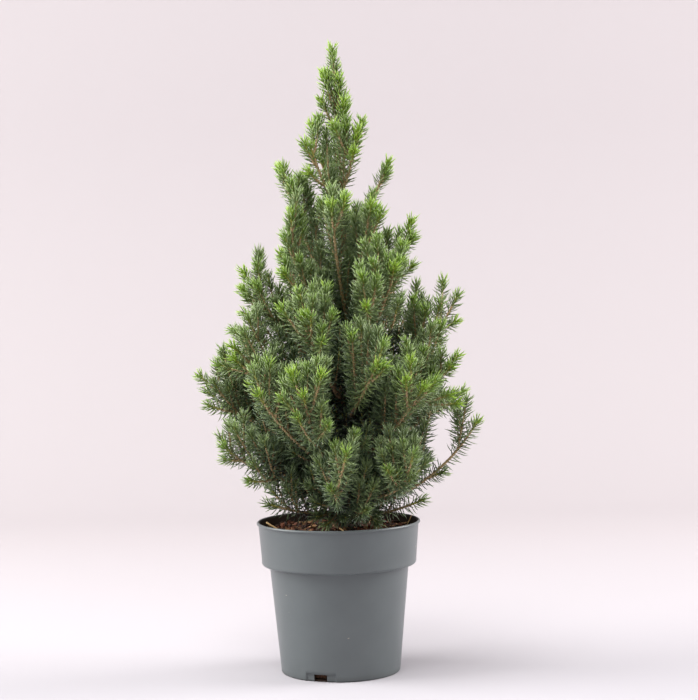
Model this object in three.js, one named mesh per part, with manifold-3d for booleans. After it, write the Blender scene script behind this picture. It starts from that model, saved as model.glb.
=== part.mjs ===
// A young dwarf spruce in a round plastic nursery pot: a thin pot wall with a deep collar and three
// drain notches, the soil that fills it, one tapering trunk, main boughs in tiers, and masses of
// needled shoots. Millimetres, +Z up. The origin is the middle of the pot's flat underside.
import * as THREE from "three";
import { mergeVertices } from "three/addons/utils/BufferGeometryUtils.js";
import Module from "manifold-3d";

const wasm = await Module();
wasm.setup();

// ---------------------------------------------------------------- driving sizes
const GAP = 0.3; // clearance between pieces that touch
const SLIVER = 0.03; // joins and cuts leave no face thinner than this
const POT = {
  height: 138,
  lipRadius: 75, // outside of the rounded lip
  lipHeight: 2.6,
  collarTop: 73.4, // outside radii of the collar and of the body below it
  collarFoot: 70.8,
  collarDepth: 35, // from the rim down to where the collar turns in
  shoulder: 6, // height of the curve from the collar in to the body
  bodyTop: 63.6,
  bodyFoot: 54.6,
  wall: 1.6,
  floor: 2.2,
  footRound: 1.2, // bevel round the foot
  lipRound: 0.4, // how far the lip is rounded off under it and on top
  lipTopRound: 0.7,
  shoulderInside: 0.6, // inside, the shoulder starts this much under the body's top
  sides: 36,
};
const DRAIN = { count: 3, firstAngle: 250, width: 28, height: 6.5, recess: 1.1, hole: 12, reach: 9 };
const SOIL = { edgeHeight: 128.5, seatHeight: 131, lump: 1.6, sides: 18, wallRoom: 0.2 };
// Rings of the soil above the body: share of the body's inner radius, height over the rim of the soil or,
// for the first, over the collar's foot, and whether the ring is lumpy.
const SOIL_RINGS = { collar: [1.1, 3], edge: [1.14, 0], slope: [0.86, 1.5], middle: [0.55, 2.2], seat: 0.25, floor: 0.55 };
const TRUNK = {
  top: 474,
  footRadius: 5.4,
  topRadius: 1.1,
  taper: 1.35,
  flare: 3.4, // added to the radius at the soil
  flareHeight: 7,
  bow: 11, // sideways, and the trunk comes back under its own top
  bowShape: 0.75, // below 1, the bow is strongest in the lower half
  lean: 1.6,
  sides: 7,
  rings: [0, 0.01, 0.025, 0.05, 0.1, 0.2, 0.3, 0.4, 0.5, 0.6, 0.7, 0.8, 0.9, 1],
};
const TREE_TOP = 573;

// Crown outline: the widest radius, where it lies, and how it closes to the tip and to the pot.
const CROWN = { radius: 131, widest: 245, bulge: 0.6, foot: 150, footRadius: 64, footCurve: 1.6, slack: 5 };
const LEAN = { most: 10, height: 345, spread: 50 }; // the crown stands a little to +X half way up

// Boughs: azimuth in degrees (0 is +X, 90 is +Y), height of the foot on the trunk, and the tip's reach and height.
const BOUGHS = {
  skirt: [
    [208, 168, 117, 216],
    [266, 150, 102, 181],
    [307, 156, 111, 189],
    [352, 146, 131, 232],
    [52, 155, 112, 205],
    [126, 160, 114, 196],
  ],
  lower: [
    [184, 192, 127, 277],
    [236, 181, 123, 264],
    [257, 172, 126, 264],
    [306, 187, 131, 268],
    [20, 194, 122, 254],
    [88, 180, 122, 262],
    [150, 176, 120, 244],
  ],
  middle: [
    [352, 221, 115, 347],
    [206, 236, 105, 304],
    [254, 243, 96, 332],
    [288, 229, 121, 288],
    [330, 212, 127, 293],
    [54, 238, 106, 334],
    [118, 228, 106, 322],
  ],
};
// Sprays: shoots that leave the trunk itself, low over the soil and from the small upper boughs upwards.
const SPRAYS = [
  [213, 142, 80, 161],
  [289, 139, 79, 158],
  [350, 137, 83, 159],
  [181, 262, 85, 372],
  [314, 276, 84, 378],
  [354, 292, 73, 416],
  [220, 292, 58, 402],
  [128, 290, 74, 392],
  [70, 300, 72, 404],
  [185, 324, 46, 467],
  [268, 318, 57, 429],
  [305, 334, 61, 429],
  [357, 400, 53, 469],
  [92, 384, 39, 468],
  [226, 420, 29, 483],
  [324, 440, 30, 497],
];
// Lead shoots: side shoots that reach a tip of the crown, given as azimuth, reach and height of the tip.
const LEAD_TIPS = [
  [242, 8, 550],
  [313, 12, 545],
  [220, 13, 526],
  [314, 19, 524],
  [193, 18, 505],
  [272, 23, 502],
  [300, 40, 476],
  [236, 43, 458],
  [225, 53, 424],
  [350, 76, 399],
  [349, 76, 374],
  [350, 115, 322],
  [295, 80, 376],
  [184, 85, 355],
  [183, 87, 332],
  [236, 87, 338],
  [251, 93, 331],
  [286, 96, 337],
  [230, 73, 368],
  [339, 102, 341],
  [292, 113, 304],
  [264, 107, 307],
  [251, 119, 284],
  [231, 116, 286],
  [195, 113, 286],
  [187, 98, 316],
  [192, 122, 249],
  [247, 125, 261],
  [267, 127, 237],
  [265, 122, 282],
  [302, 121, 292],
  [312, 132, 273],
  [320, 132, 258],
  [327, 132, 249],
  [302, 124, 211],
  [291, 116, 197],
  [274, 123, 215],
  [206, 116, 202],
  [218, 103, 183],
];
// Openings that run through the crown from front to back, between its tips: X, height and radius of each.
const OPENINGS = [
  [-32, 465, 9],
  [31, 456, 9],
  [25, 435, 9],
  [55, 412, 9],
  [52, 386, 7],
  [-15, 456, 6],
  [-55, 379, 9],
  [-58, 399, 10],
  [86, 369, 9],
  [89, 347, 9],
  [104, 265, 9],
  [98, 209, 14],
  [-82, 178, 11],
  [58, 148, 9],
  [-98, 307, 8],
];

// Limbs leave the trunk outwards and turn up: where the bend lies along the reach and along the rise.
const BEND = { reach: 0.6, rise: 0.3, sway: 7 };
const SKIRT_BEND = { reach: 0.68, rise: 0.14 };
const LIMB = { share: 0.36, footRadius: 2.3, tipRadius: 1.5, footBySpan: 0.006, sides: 5, rings: 3 };
const SHOOT = { radius: 1.8, thinner: 0.85, tipRadius: 0.8, step: 15, bare: 11, twist: 50, potRoom: 8, rimRoom: 8 };
const NEEDLE = { length: 12.5, lean: 42, tipLean: 68, room: 1.2, shorter: [1, 0.75, 0.5], tested: [1, 0.7, 0.4] };
// Side shoots: where the first and last leave their limb, their spacing, angle, roll, and length as a share
// of the limb that is left beyond them.
const SIDE = { first: 0.1, last: 0.8, spacing: 60, angle: 48, topAngle: 26, rise: 0.45, turn: 137.5, wobble: 10 };
const SIDE_LENGTH = { share: 0.62, spread: 0.3, extra: 12, longest: 60, shortest: 20, lift: 0.3, drawnIn: 0.4 };
const SPRAY_FORKS = 0.36; // share of a spray's line below its first side shoot
const LONE = { sine: 0.3, spacing: 26, more: 1, longer: 1.3 }; // limbs at the back fork more, and more widely
// Lead shoots leave their limbs between these shares, at about this angle, which closes towards the top of
// the tree, and are about this long.
const LEAD = {
  first: 0.05,
  last: 0.85,
  step: 0.05,
  angle: 32,
  topAngle: 12,
  widest: 75,
  length: 40,
  ease: 0.7, // weight of the length against the angle
  sag: 0.1,
  slack: 9,
};
const CLEAR = { limb: 4.2, shoot: 6.5, lead: 4.4, start: 9, step: 10 }; // from a side shoot to the limbs and shoots of others

// ---------------------------------------------------------------- small helpers
const radians = THREE.MathUtils.degToRad;
const UP = new THREE.Vector3(0, 0, 1);
const LEVEL = { side: new THREE.Vector3(1, 0, 0), across: new THREE.Vector3(0, 1, 0) };
const mix = (a, b, t) => a + (b - a) * t;

// A number from 0 to 1 that depends only on its three seeds.
function chance(a, b, c) {
  const s = Math.sin(a * 12.9898 + b * 78.233 + c * 37.719) * 43758.5453;
  return s - Math.floor(s);
}

function meshOf(solid) {
  const { numProp, vertProperties, triVerts } = solid.getMesh();
  const count = vertProperties.length / numProp;
  const position = new Float32Array(count * 3);
  for (let i = 0; i < count; i++) position.set(vertProperties.subarray(i * numProp, i * numProp + 3), i * 3);
  const geometry = new THREE.BufferGeometry();
  geometry.setAttribute("position", new THREE.BufferAttribute(position, 3));
  geometry.setIndex(new THREE.BufferAttribute(new Uint32Array(triVerts), 1));
  geometry.computeVertexNormals();
  return geometry;
}

function solidOf(geometry) {
  const bare = geometry.clone();
  bare.deleteAttribute("normal");
  bare.deleteAttribute("uv");
  const merged = mergeVertices(bare, 1e-4);
  return new wasm.Manifold(
    new wasm.Mesh({
      numProp: 3,
      vertProperties: new Float32Array(merged.attributes.position.array),
      triVerts: new Uint32Array(merged.index.array),
    }),
  );
}

// The largest of the bodies that a cut or a join leaves, without slivers: a loose scrap is dropped.
function largest(solid) {
  return solid.decompose().reduce((a, b) => (b.volume() > a.volume() ? b : a)).simplify(SLIVER);
}

// ---------------------------------------------------------------- trunk and limbs, as curves
const growth = (z) => Math.min(1, Math.max(0, (z - SOIL.seatHeight) / (TREE_TOP - SOIL.seatHeight)));

// The trunk bows to one side in a long sine, and comes back under its own top.
function trunkAxis(z) {
  const up = growth(z);
  return new THREE.Vector3(TRUNK.bow * Math.sin(Math.PI * up ** TRUNK.bowShape) + TRUNK.lean * up, 0, z);
}

// The trunk thins as a power of the height left above, and flares at the soil.
function trunkRadius(z) {
  const left = Math.max(0, 1 - growth(z) / growth(TRUNK.top));
  const flare = TRUNK.flare * Math.exp((SOIL.seatHeight - z) / TRUNK.flareHeight);
  return mix(TRUNK.topRadius, TRUNK.footRadius, left ** TRUNK.taper) + flare;
}

// The crown's radius at a height: a bulging cone above the widest level, a curve in to the pot below it.
function crownRadius(z) {
  if (z >= CROWN.widest) {
    const left = Math.max(0, (TREE_TOP - z) / (TREE_TOP - CROWN.widest));
    return CROWN.radius * left ** (1 - CROWN.bulge * left * left);
  }
  const down = Math.min(1, (CROWN.widest - z) / (CROWN.widest - CROWN.foot));
  return CROWN.radius - (CROWN.radius - CROWN.footRadius) * down ** CROWN.footCurve;
}

// How far a point lies outside the crown.
function outsideCrown({ x, y, z }) {
  const lean = LEAN.most * Math.exp(-(((z - LEAN.height) / LEAN.spread) ** 2));
  return Math.hypot(x - lean, y) - crownRadius(z);
}

const polar = (azimuth, reach, z) =>
  new THREE.Vector3(reach * Math.cos(radians(azimuth)), reach * Math.sin(radians(azimuth)), z);

// The line of a limb, from the trunk's axis to its tip: out first, then up, with a little sway to one side.
function limbCurve([azimuth, foot, reach, tip], seed, turn) {
  const from = trunkAxis(foot);
  const to = polar(azimuth, reach, tip);
  const sway = azimuth + BEND.sway * (2 * chance(seed, 1, 2) - 1);
  const bend = polar(sway, reach * turn.reach, mix(foot, tip, turn.rise));
  bend.x += from.x * (1 - turn.reach);
  return new THREE.QuadraticBezierCurve3(from, bend, to);
}

// Points along part of a curve, at even steps of about the given length.
function along(curve, start, end, step) {
  const span = curve.getLength() * (end - start);
  const count = Math.max(2, Math.round(span / step));
  return Array.from({ length: count + 1 }, (_, i) => curve.getPointAt(mix(start, end, i / count)));
}

// Directions along a path, and a pair of axes across it that don't twist.
function framesOf(path) {
  const frames = [];
  let side = null;
  for (let i = 0; i < path.length; i++) {
    const ahead = path[Math.min(i + 1, path.length - 1)];
    const behind = path[Math.max(i - 1, 0)];
    const tangent = ahead.clone().sub(behind).normalize();
    if (!side) side = new THREE.Vector3().crossVectors(tangent, UP);
    if (side.lengthSq() < 1e-4) side.set(1, 0, 0);
    side.addScaledVector(tangent, -side.dot(tangent)).normalize();
    const across = new THREE.Vector3().crossVectors(tangent, side);
    frames.push({ tangent, side: side.clone(), across });
  }
  return frames;
}

// A closed mesh that is filled corner by corner and face by face.
class Shell {
  positions = [];
  faces = [];

  corner(point) {
    this.positions.push(point.x, point.y, point.z);
    return this.positions.length / 3 - 1;
  }

  ring(centre, frame, radius, sides, turn = 0) {
    return Array.from({ length: sides }, (_, i) => {
      const angle = (2 * Math.PI * i) / sides + turn;
      const point = centre.clone();
      point.addScaledVector(frame.side, radius * Math.cos(angle));
      point.addScaledVector(frame.across, radius * Math.sin(angle));
      return this.corner(point);
    });
  }

  // Closes a ring with a fan round one point, facing back along the path or forward.
  cap(ring, point, forward) {
    const middle = this.corner(point);
    ring.forEach((a, i) => {
      const b = ring[(i + 1) % ring.length];
      this.faces.push(...(forward ? [a, b, middle] : [b, a, middle]));
    });
  }

  // The wall between two rings. Each side is two flat faces, or a spike that rises to the point given.
  wall(lower, upper, spike = () => null) {
    lower.forEach((a, i) => {
      const b = lower[(i + 1) % lower.length];
      const c = upper[(i + 1) % upper.length];
      const d = upper[i];
      const tip = spike(i);
      if (!tip) {
        this.faces.push(a, b, c, a, c, d);
        return;
      }
      const e = this.corner(tip);
      this.faces.push(a, b, e, b, c, e, c, d, e, d, a, e);
    });
  }

  geometry() {
    const geometry = new THREE.BufferGeometry();
    geometry.setAttribute("position", new THREE.Float32BufferAttribute(this.positions, 3));
    geometry.setIndex(this.faces);
    return geometry;
  }
}

// A round limb along a path, with a radius for each point and flat ends.
function limbShell(path, radii, sides, frames = framesOf(path)) {
  const shell = new Shell();
  const rings = path.map((point, i) => shell.ring(point, frames[i], radii[i], sides));
  for (let i = 1; i < rings.length; i++) shell.wall(rings[i - 1], rings[i]);
  shell.cap(rings[0], path[0], false);
  shell.cap(rings.at(-1), path.at(-1), true);
  return shell.geometry();
}

// The trunk's rings all lie level, so that its foot is cut flat on the soil.
function trunkShape(extra = 0) {
  const foot = SOIL.seatHeight + GAP;
  const heights = TRUNK.rings.map((share) => mix(foot, TRUNK.top, share));
  const path = heights.map(trunkAxis);
  return limbShell(path, heights.map((z) => trunkRadius(z) + extra), TRUNK.sides, path.map(() => LEVEL));
}

// ---------------------------------------------------------------- the plan of the crown
// Each limb has its curve, the share of it that is a bough of bare wood, the share below its first side
// shoot, and the angle of its side shoots, which closes towards the top of the tree.
function planned() {
  const limbs = [];
  const add = (name, row, wood, forksFrom, turn = BEND) => {
    const seed = limbs.length + 1;
    const lone = Math.sin(radians(row[0])) > LONE.sine;
    const angle = mix(SIDE.angle, SIDE.topAngle, growth(row[1]));
    limbs.push({ name, seed, wood, forksFrom, lone, angle, curve: limbCurve(row, seed, turn) });
  };
  for (const [tier, rows] of Object.entries(BOUGHS)) {
    const turn = tier === "skirt" ? SKIRT_BEND : BEND;
    rows.forEach((row, i) => add(`${tier}_${i + 1}`, row, LIMB.share, LIMB.share, turn));
  }
  SPRAYS.forEach((row, i) => add(`spray_${i + 1}`, row, 0, SPRAY_FORKS));
  const seed = limbs.length + 1;
  limbs.push({ name: "leader", seed, wood: 0, forksFrom: 0, angle: SIDE.topAngle, curve: leaderCurve() });
  for (const limb of limbs) limb.span = limb.curve.getLength();
  return limbs;
}

// The leader carries the trunk's line on to the top of the tree.
function leaderCurve() {
  const from = TRUNK.top + GAP;
  return new THREE.CatmullRomCurve3([0, 0.35, 0.7, 1].map((t) => trunkAxis(mix(from, TREE_TOP, t))));
}

// Distance from a point to the nearest of a list of paths, less each path's own radius.
function nearest(point, paths) {
  let best = Infinity;
  const line = new THREE.Line3();
  const foot = new THREE.Vector3();
  for (const { points, radius } of paths)
    for (let i = 1; i < points.length; i++) {
      line.set(points[i - 1], points[i]).closestPointToPoint(point, true, foot);
      best = Math.min(best, foot.distanceTo(point) - radius);
    }
  return best;
}

// True where a point is in or against the pot, the soil or the ground that they cover.
function inPot(point, room) {
  const out = Math.hypot(point.x, point.y);
  if (point.z < SOIL.seatHeight + room) return true;
  return point.z < POT.height + room && out > POT.lipRadius - SHOOT.rimRoom - room;
}

const inOpening = ({ x, z }) => OPENINGS.some(([u, v, radius]) => Math.hypot(x - u, z - v) < radius);

// One side shoot: it leaves its stem at an angle, rolled round it by the golden angle, and turns up.
function sideCurve(limb, order, at, angle, share) {
  const from = limb.curve.getPointAt(at);
  const tangent = limb.curve.getTangentAt(at);
  const flat = new THREE.Vector3().crossVectors(tangent, UP).normalize();
  const over = new THREE.Vector3().crossVectors(flat, tangent);
  const roll = radians(SIDE.turn * order + 360 * chance(limb.seed, 3, 4));
  const out = flat.multiplyScalar(Math.cos(roll)).addScaledVector(over, Math.sin(roll));
  const way = tangent.multiplyScalar(Math.cos(angle)).addScaledVector(out, Math.sin(angle));
  way.addScaledVector(UP, SIDE.rise).normalize();
  const left = limb.span * (1 - at);
  const length = Math.min(SIDE_LENGTH.longest, left * share + SIDE_LENGTH.extra);
  const half = from.clone().addScaledVector(way, length / 2);
  const end = from.clone().addScaledVector(way, length * (1 - SIDE_LENGTH.lift * SIDE_LENGTH.drawnIn));
  end.z += length * SIDE_LENGTH.lift;
  return new THREE.QuadraticBezierCurve3(from, half, end);
}

// The share of a side shoot that keeps to the crown's outline and clear of the limbs and shoots of others.
function grown(curve, limbs, others, lead) {
  const points = along(curve, 0, 1, CLEAR.step);
  let kept = 0;
  for (const point of points.slice(1)) {
    const off = points[0].distanceTo(point);
    if (outsideCrown(point) > (lead ? LEAD.slack : CROWN.slack) || inPot(point, SHOOT.potRoom)) break;
    if (!lead && inOpening(point)) break;
    if (off > CLEAR.start && nearest(point, limbs) < CLEAR.limb) break;
    if (nearest(point, others) < (lead ? CLEAR.lead : CLEAR.shoot)) break;
    kept += 1 / (points.length - 1);
  }
  return kept;
}

// A lead shoot. Of the places on all limbs that it could leave from, it takes the first that lets it grow
// whole, in order of how near it comes there to the usual length and angle.
function leadShoot(tip, masses, wood) {
  const to = polar(...tip);
  const usual = mix(LEAD.angle, LEAD.topAngle, growth(to.z) ** 2);
  const places = [];
  for (const mass of masses)
    for (let at = LEAD.first; at < LEAD.last; at += LEAD.step) {
      if (at < mass.limb.forksFrom) continue;
      const from = mass.limb.curve.getPointAt(at);
      const way = to.clone().sub(from);
      const length = way.length();
      const angle = THREE.MathUtils.radToDeg(way.angleTo(mass.limb.curve.getTangentAt(at)));
      if (angle > LEAD.widest || length < SIDE_LENGTH.shortest || way.z < 0) continue;
      const cost = LEAD.ease * Math.abs(length - LEAD.length) + Math.abs(angle - usual);
      places.push({ mass, from, length, cost });
    }
  places.sort((a, b) => a.cost - b.cost);
  for (const { mass, from, length } of places) {
    const bend = from.clone().lerp(to, 0.5);
    bend.z -= length * LEAD.sag;
    const others = masses.filter((m) => m !== mass).flatMap((m) => m.shoots);
    const curve = new THREE.QuadraticBezierCurve3(from, bend, to);
    if (grown(curve, wood, others, true) < 1 - 1e-6) continue;
    mass.shoots.push({ points: along(curve, 0, 1, SHOOT.step), radius: SHOOT.radius * SHOOT.thinner });
    return;
  }
}

const pathLength = (points) => points.slice(1).reduce((sum, p, i) => sum + p.distanceTo(points[i]), 0);

// The side shoots of one limb, in order up its line.
function sideShoots(limb, wood, others) {
  const room = limb.span * (1 - limb.forksFrom);
  const count = Math.floor(room / (limb.lone ? LONE.spacing : SIDE.spacing)) + 1 + (limb.lone ? LONE.more : 0);
  const shoots = [];
  for (let order = 0; order < count; order++) {
    const at = mix(limb.forksFrom, 1, mix(SIDE.first, SIDE.last, (order + 0.5) / count));
    const angle = radians(limb.angle + SIDE.wobble * (chance(limb.seed, order, 5) - 0.5));
    const share = SIDE_LENGTH.share + SIDE_LENGTH.spread * chance(limb.seed, order, 6);
    const curve = sideCurve(limb, order, at, angle, limb.lone ? share * LONE.longer : share);
    const kept = grown(curve, wood, others, false);
    if (curve.getLength() * kept < SIDE_LENGTH.shortest) continue;
    shoots.push({ points: along(curve, 0, kept, SHOOT.step), radius: SHOOT.radius * SHOOT.thinner });
  }
  return shoots;
}

// Every mass: the stem that carries its limb on to the tip, then the lead shoots, then side shoots clear of
// all grown before.
function massesOf(limbs, wood) {
  const masses = limbs.map((limb) => {
    const start = limb.wood ? limb.wood + GAP / limb.span : 0;
    return { limb, shoots: [{ points: along(limb.curve, start, 1, SHOOT.step), radius: SHOOT.radius }] };
  });
  for (const tip of LEAD_TIPS) leadShoot(tip, masses, wood);
  for (const mass of masses) {
    const others = masses.filter((m) => m !== mass).flatMap((m) => m.shoots);
    mass.shoots.push(...sideShoots(mass.limb, wood, others));
  }
  return masses;
}

// ---------------------------------------------------------------- needles
// A three-sided shoot. Its sides rise to spikes, one for each spray of needles, that lean forward more
// towards the tip. A spike that would touch a limb, the pot or another mass's space is cut short or left out.
function shootShape({ points, radius }, seed, free) {
  const shell = new Shell();
  const frames = framesOf(points);
  const last = points.length - 1;
  const thick = (i) => mix(radius, SHOOT.tipRadius, i / last);
  const turn = (i) => radians(SHOOT.twist * i);
  const rings = points.slice(0, last).map((p, i) => shell.ring(p, frames[i], thick(i), 3, turn(i)));
  for (let i = 1; i < last; i++) {
    const gone = pathLength(points.slice(0, i + 1));
    const middle = points[i].clone().lerp(points[i - 1], 0.5);
    const lean = radians(mix(NEEDLE.lean, NEEDLE.tipLean, (i / last) ** 2));
    shell.wall(rings[i - 1], rings[i], (k) => {
      if (gone < SHOOT.bare) return null;
      const angle = turn(i - 0.5) + radians(120 * k + 60);
      const out = frames[i].side.clone().multiplyScalar(Math.cos(angle));
      out.addScaledVector(frames[i].across, Math.sin(angle));
      const way = out.multiplyScalar(Math.cos(lean)).addScaledVector(frames[i].tangent, Math.sin(lean));
      const full = NEEDLE.length * (0.85 + 0.3 * chance(seed, i, k));
      for (const share of NEEDLE.shorter) {
        const steps = NEEDLE.tested.map((s) => middle.clone().addScaledVector(way, full * share * s));
        if (steps.every(free)) return steps[0];
      }
      return null;
    });
  }
  shell.cap(rings[0], points[0], false);
  shell.cap(rings.at(-1), points[last], true);
  return shell.geometry();
}

// One mass: its shoots joined into one body, with every side shoot's root sunk into the stem. A stem that
// leaves the trunk itself is cut to the trunk's surface with a small gap.
function massShape(mass, masses, wood, trunkRoom) {
  const others = masses.filter((m) => m !== mass).flatMap((m) => m.shoots);
  const free = (point) => {
    if (inPot(point, NEEDLE.room) || nearest(point, wood) < NEEDLE.room) return false;
    return nearest(point, mass.shoots) + NEEDLE.room < nearest(point, others);
  };
  const solids = mass.shoots.map((shoot, i) =>
    solidOf(shootShape(shoot, mass.limb.seed * 10 + i, free)),
  );
  const whole = wasm.Manifold.union(solids);
  return meshOf(largest(mass.limb.wood ? whole : whole.subtract(trunkRoom)));
}

// ---------------------------------------------------------------- pot and soil
const bodyRadius = (z) => mix(POT.bodyFoot, POT.bodyTop, z / (POT.height - POT.collarDepth - POT.shoulder));

// A profile of [radius, height] pairs turned round the upright axis.
function turned(profile, sides) {
  const geometry = new THREE.LatheGeometry(profile.map(([r, z]) => new THREE.Vector2(r, z)), sides);
  return geometry.rotateX(Math.PI / 2);
}

// A quarter round from one point to another, as a few chords.
function rounded([r0, z0], [r1, z1], chords, outFirst) {
  return Array.from({ length: chords - 1 }, (_, i) => {
    const angle = ((i + 1) / chords) * (Math.PI / 2);
    const [u, v] = outFirst ? [Math.sin(angle), 1 - Math.cos(angle)] : [1 - Math.cos(angle), Math.sin(angle)];
    return [mix(r0, r1, u), mix(z0, z1, v)];
  });
}

function potShape() {
  const { height, lipRadius, lipHeight, wall, collarTop, collarFoot, bodyTop, bodyFoot } = POT;
  const { footRound, lipRound, lipTopRound, shoulderInside } = POT;
  const collarLow = height - POT.collarDepth;
  const bodyHigh = collarLow - POT.shoulder;
  const step = [bodyTop, bodyHigh];
  const edge = [collarFoot, collarLow];
  const profile = [
    [0, 0],
    [bodyFoot - footRound, 0],
    [bodyFoot, footRound],
    step,
    ...rounded(step, edge, 4, true),
    edge,
    [collarTop, height - lipHeight],
    [lipRadius - lipRound, height - lipHeight],
    [lipRadius, height - lipHeight / 2],
    [lipRadius - lipTopRound, height],
    [collarTop - wall, height],
    [collarFoot - wall, collarLow + wall],
    [bodyTop - wall, bodyHigh + shoulderInside],
    [bodyFoot - wall, POT.floor],
    [0, POT.floor],
  ];
  let pot = solidOf(turned(profile, POT.sides));
  for (const angle of drainAngles) pot = drained(pot, angle);
  return meshOf(largest(pot));
}

// A box that straddles the pot's foot at an angle: from one radius to another, so wide and so high.
function footBox(angle, inner, outer, width, low, high) {
  const box = new THREE.BoxGeometry(outer - inner, width, high - low);
  box.translate((inner + outer) / 2, 0, (low + high) / 2);
  return solidOf(box.rotateZ(angle));
}

const drainAngles = Array.from({ length: DRAIN.count }, (_, i) =>
  radians(DRAIN.firstAngle + (360 * i) / DRAIN.count),
);

// The inner face of a drain's recess: a strip of wall that stands in from the pot's own wall.
function recessBack(angle, room = 0) {
  const back = bodyRadius(0) - DRAIN.recess;
  return footBox(angle, back - 3 - room, back, DRAIN.width + 2 * room, 1, DRAIN.height + POT.wall + room);
}

// One drain: the wall steps in behind a low notch, and a hole in the middle of it opens to the soil.
function drained(pot, angle) {
  const face = bodyRadius(0);
  const notch = footBox(angle, face - DRAIN.recess - POT.wall / 2, face + 4, DRAIN.width, -1, DRAIN.height);
  const hole = footBox(angle, face - DRAIN.reach, face + 4, DRAIN.hole, -1, DRAIN.height);
  return pot.add(recessBack(angle)).subtract(notch).subtract(hole);
}

// The soil fills the pot from the floor to a lumpy top that rises a little to the trunk's seat.
function soilShape() {
  const out = (z) => bodyRadius(z) - POT.wall - GAP - SOIL.wallRoom;
  const ring = ([share, over], from, lumpy) => [share, from + over, lumpy];
  const collarLow = POT.height - POT.collarDepth;
  const foot = POT.floor + GAP;
  const rings = [
    [SOIL_RINGS.floor, foot, 0],
    [1, foot, 0],
    [1, collarLow - POT.shoulder, 0],
    ring(SOIL_RINGS.collar, collarLow, 0),
    ring(SOIL_RINGS.edge, SOIL.edgeHeight, 0),
    ring(SOIL_RINGS.slope, SOIL.edgeHeight, 1),
    ring(SOIL_RINGS.middle, SOIL.edgeHeight, 1),
    [SOIL_RINGS.seat, SOIL.seatHeight, 0],
  ];
  const shell = new Shell();
  const loops = rings.map(([share, z, lumpy], row) =>
    Array.from({ length: SOIL.sides }, (_, i) => {
      const angle = (2 * Math.PI * i) / SOIL.sides;
      const radius = share * out(Math.min(z, collarLow - POT.shoulder));
      const point = new THREE.Vector3(0, 0, z + lumpy * SOIL.lump * (chance(row, i, 9) - 0.5));
      return shell.corner(point.set(radius * Math.cos(angle), radius * Math.sin(angle), point.z));
    }),
  );
  for (let i = 1; i < loops.length; i++) shell.wall(loops[i - 1], loops[i]);
  shell.cap(loops[0], new THREE.Vector3(0, 0, foot), false);
  shell.cap(loops.at(-1), new THREE.Vector3(0, 0, SOIL.seatHeight), true);
  const backs = drainAngles.map((angle) => recessBack(angle, GAP));
  return meshOf(largest(solidOf(shell.geometry()).subtract(wasm.Manifold.union(backs))));
}

// ---------------------------------------------------------------- the assembly
const finish = (color, roughness) => new THREE.MeshStandardMaterial({ color, roughness, metalness: 0 });
const MATERIALS = {
  plastic: finish(0x757c7b, 0.55),
  soil: finish(0x4a2f22, 0.95),
  bark: finish(0x8a6038, 0.85),
  needles: finish(0x35602c, 0.6),
};

function piece(name, geometry, material) {
  const mesh = new THREE.Mesh(geometry, material);
  mesh.name = name;
  return mesh;
}

// A bough: the bare wood of a limb, fitted to the trunk with a small gap.
function boughShape(limb, trunkRoom) {
  const foot = LIMB.footRadius + LIMB.footBySpan * limb.span;
  const path = along(limb.curve, 0, limb.wood, (limb.span * limb.wood) / LIMB.rings);
  const radii = path.map((_, i) => mix(foot, LIMB.tipRadius, i / (path.length - 1)));
  return meshOf(largest(solidOf(limbShell(path, radii, LIMB.sides)).subtract(trunkRoom)));
}

const tree = new THREE.Group();
const limbs = planned();
const boughs = limbs.filter((limb) => limb.wood);
const trunkPath = TRUNK.rings.map((share) => trunkAxis(mix(SOIL.seatHeight, TRUNK.top, share)));
const wood = [{ points: trunkPath, radius: TRUNK.topRadius * 2 }];
for (const limb of boughs)
  wood.push({ points: along(limb.curve, 0, limb.wood, SHOOT.step), radius: LIMB.tipRadius + GAP });
const masses = massesOf(limbs, wood);
const trunkRoom = solidOf(trunkShape(GAP));

tree.add(piece("trunk", trunkShape(), MATERIALS.bark));
for (const limb of boughs) tree.add(piece(`bough_${limb.name}`, boughShape(limb, trunkRoom), MATERIALS.bark));
for (const mass of masses) {
  const name = mass.limb.wood ? `needles_${mass.limb.name}` : mass.limb.name;
  tree.add(piece(name, massShape(mass, masses, wood, trunkRoom), MATERIALS.needles));
}

const container = new THREE.Group();
container.add(piece("pot", potShape(), MATERIALS.plastic), piece("soil", soilShape(), MATERIALS.soil));

const pottedSpruce = new THREE.Group();
pottedSpruce.add(container, tree);

export default pottedSpruce;
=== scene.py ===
"""Looks for a young dwarf spruce in a round plastic nursery pot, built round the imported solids.

The crown grows by the same rule as the solids: every limb's line, then its side shoots, and here also
finer twigs on all of them. Each shoot is a ridged stem with a spiral of needles. Sizes are in
millimetres and become metres in make_piece. Directions: +Z up, -Y towards the viewer, +X to the right.
"""

import math

import bpy
import numpy as np
from mathutils import Matrix


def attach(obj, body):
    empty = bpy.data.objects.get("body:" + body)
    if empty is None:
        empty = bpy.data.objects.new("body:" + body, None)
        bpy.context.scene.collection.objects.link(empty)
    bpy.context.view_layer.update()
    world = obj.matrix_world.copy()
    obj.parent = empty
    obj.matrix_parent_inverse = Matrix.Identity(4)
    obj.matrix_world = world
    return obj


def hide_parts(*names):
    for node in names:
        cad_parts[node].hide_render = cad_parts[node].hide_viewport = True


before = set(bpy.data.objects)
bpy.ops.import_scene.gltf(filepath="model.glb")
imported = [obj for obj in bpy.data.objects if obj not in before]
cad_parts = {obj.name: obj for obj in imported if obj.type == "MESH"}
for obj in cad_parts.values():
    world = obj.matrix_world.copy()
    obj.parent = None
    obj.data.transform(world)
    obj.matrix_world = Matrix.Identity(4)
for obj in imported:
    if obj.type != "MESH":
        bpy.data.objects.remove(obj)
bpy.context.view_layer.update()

MM = 0.001
UP = np.array([0.0, 0.0, 1.0])
TAU = 2 * math.pi
GOLDEN = math.radians(137.508)

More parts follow.
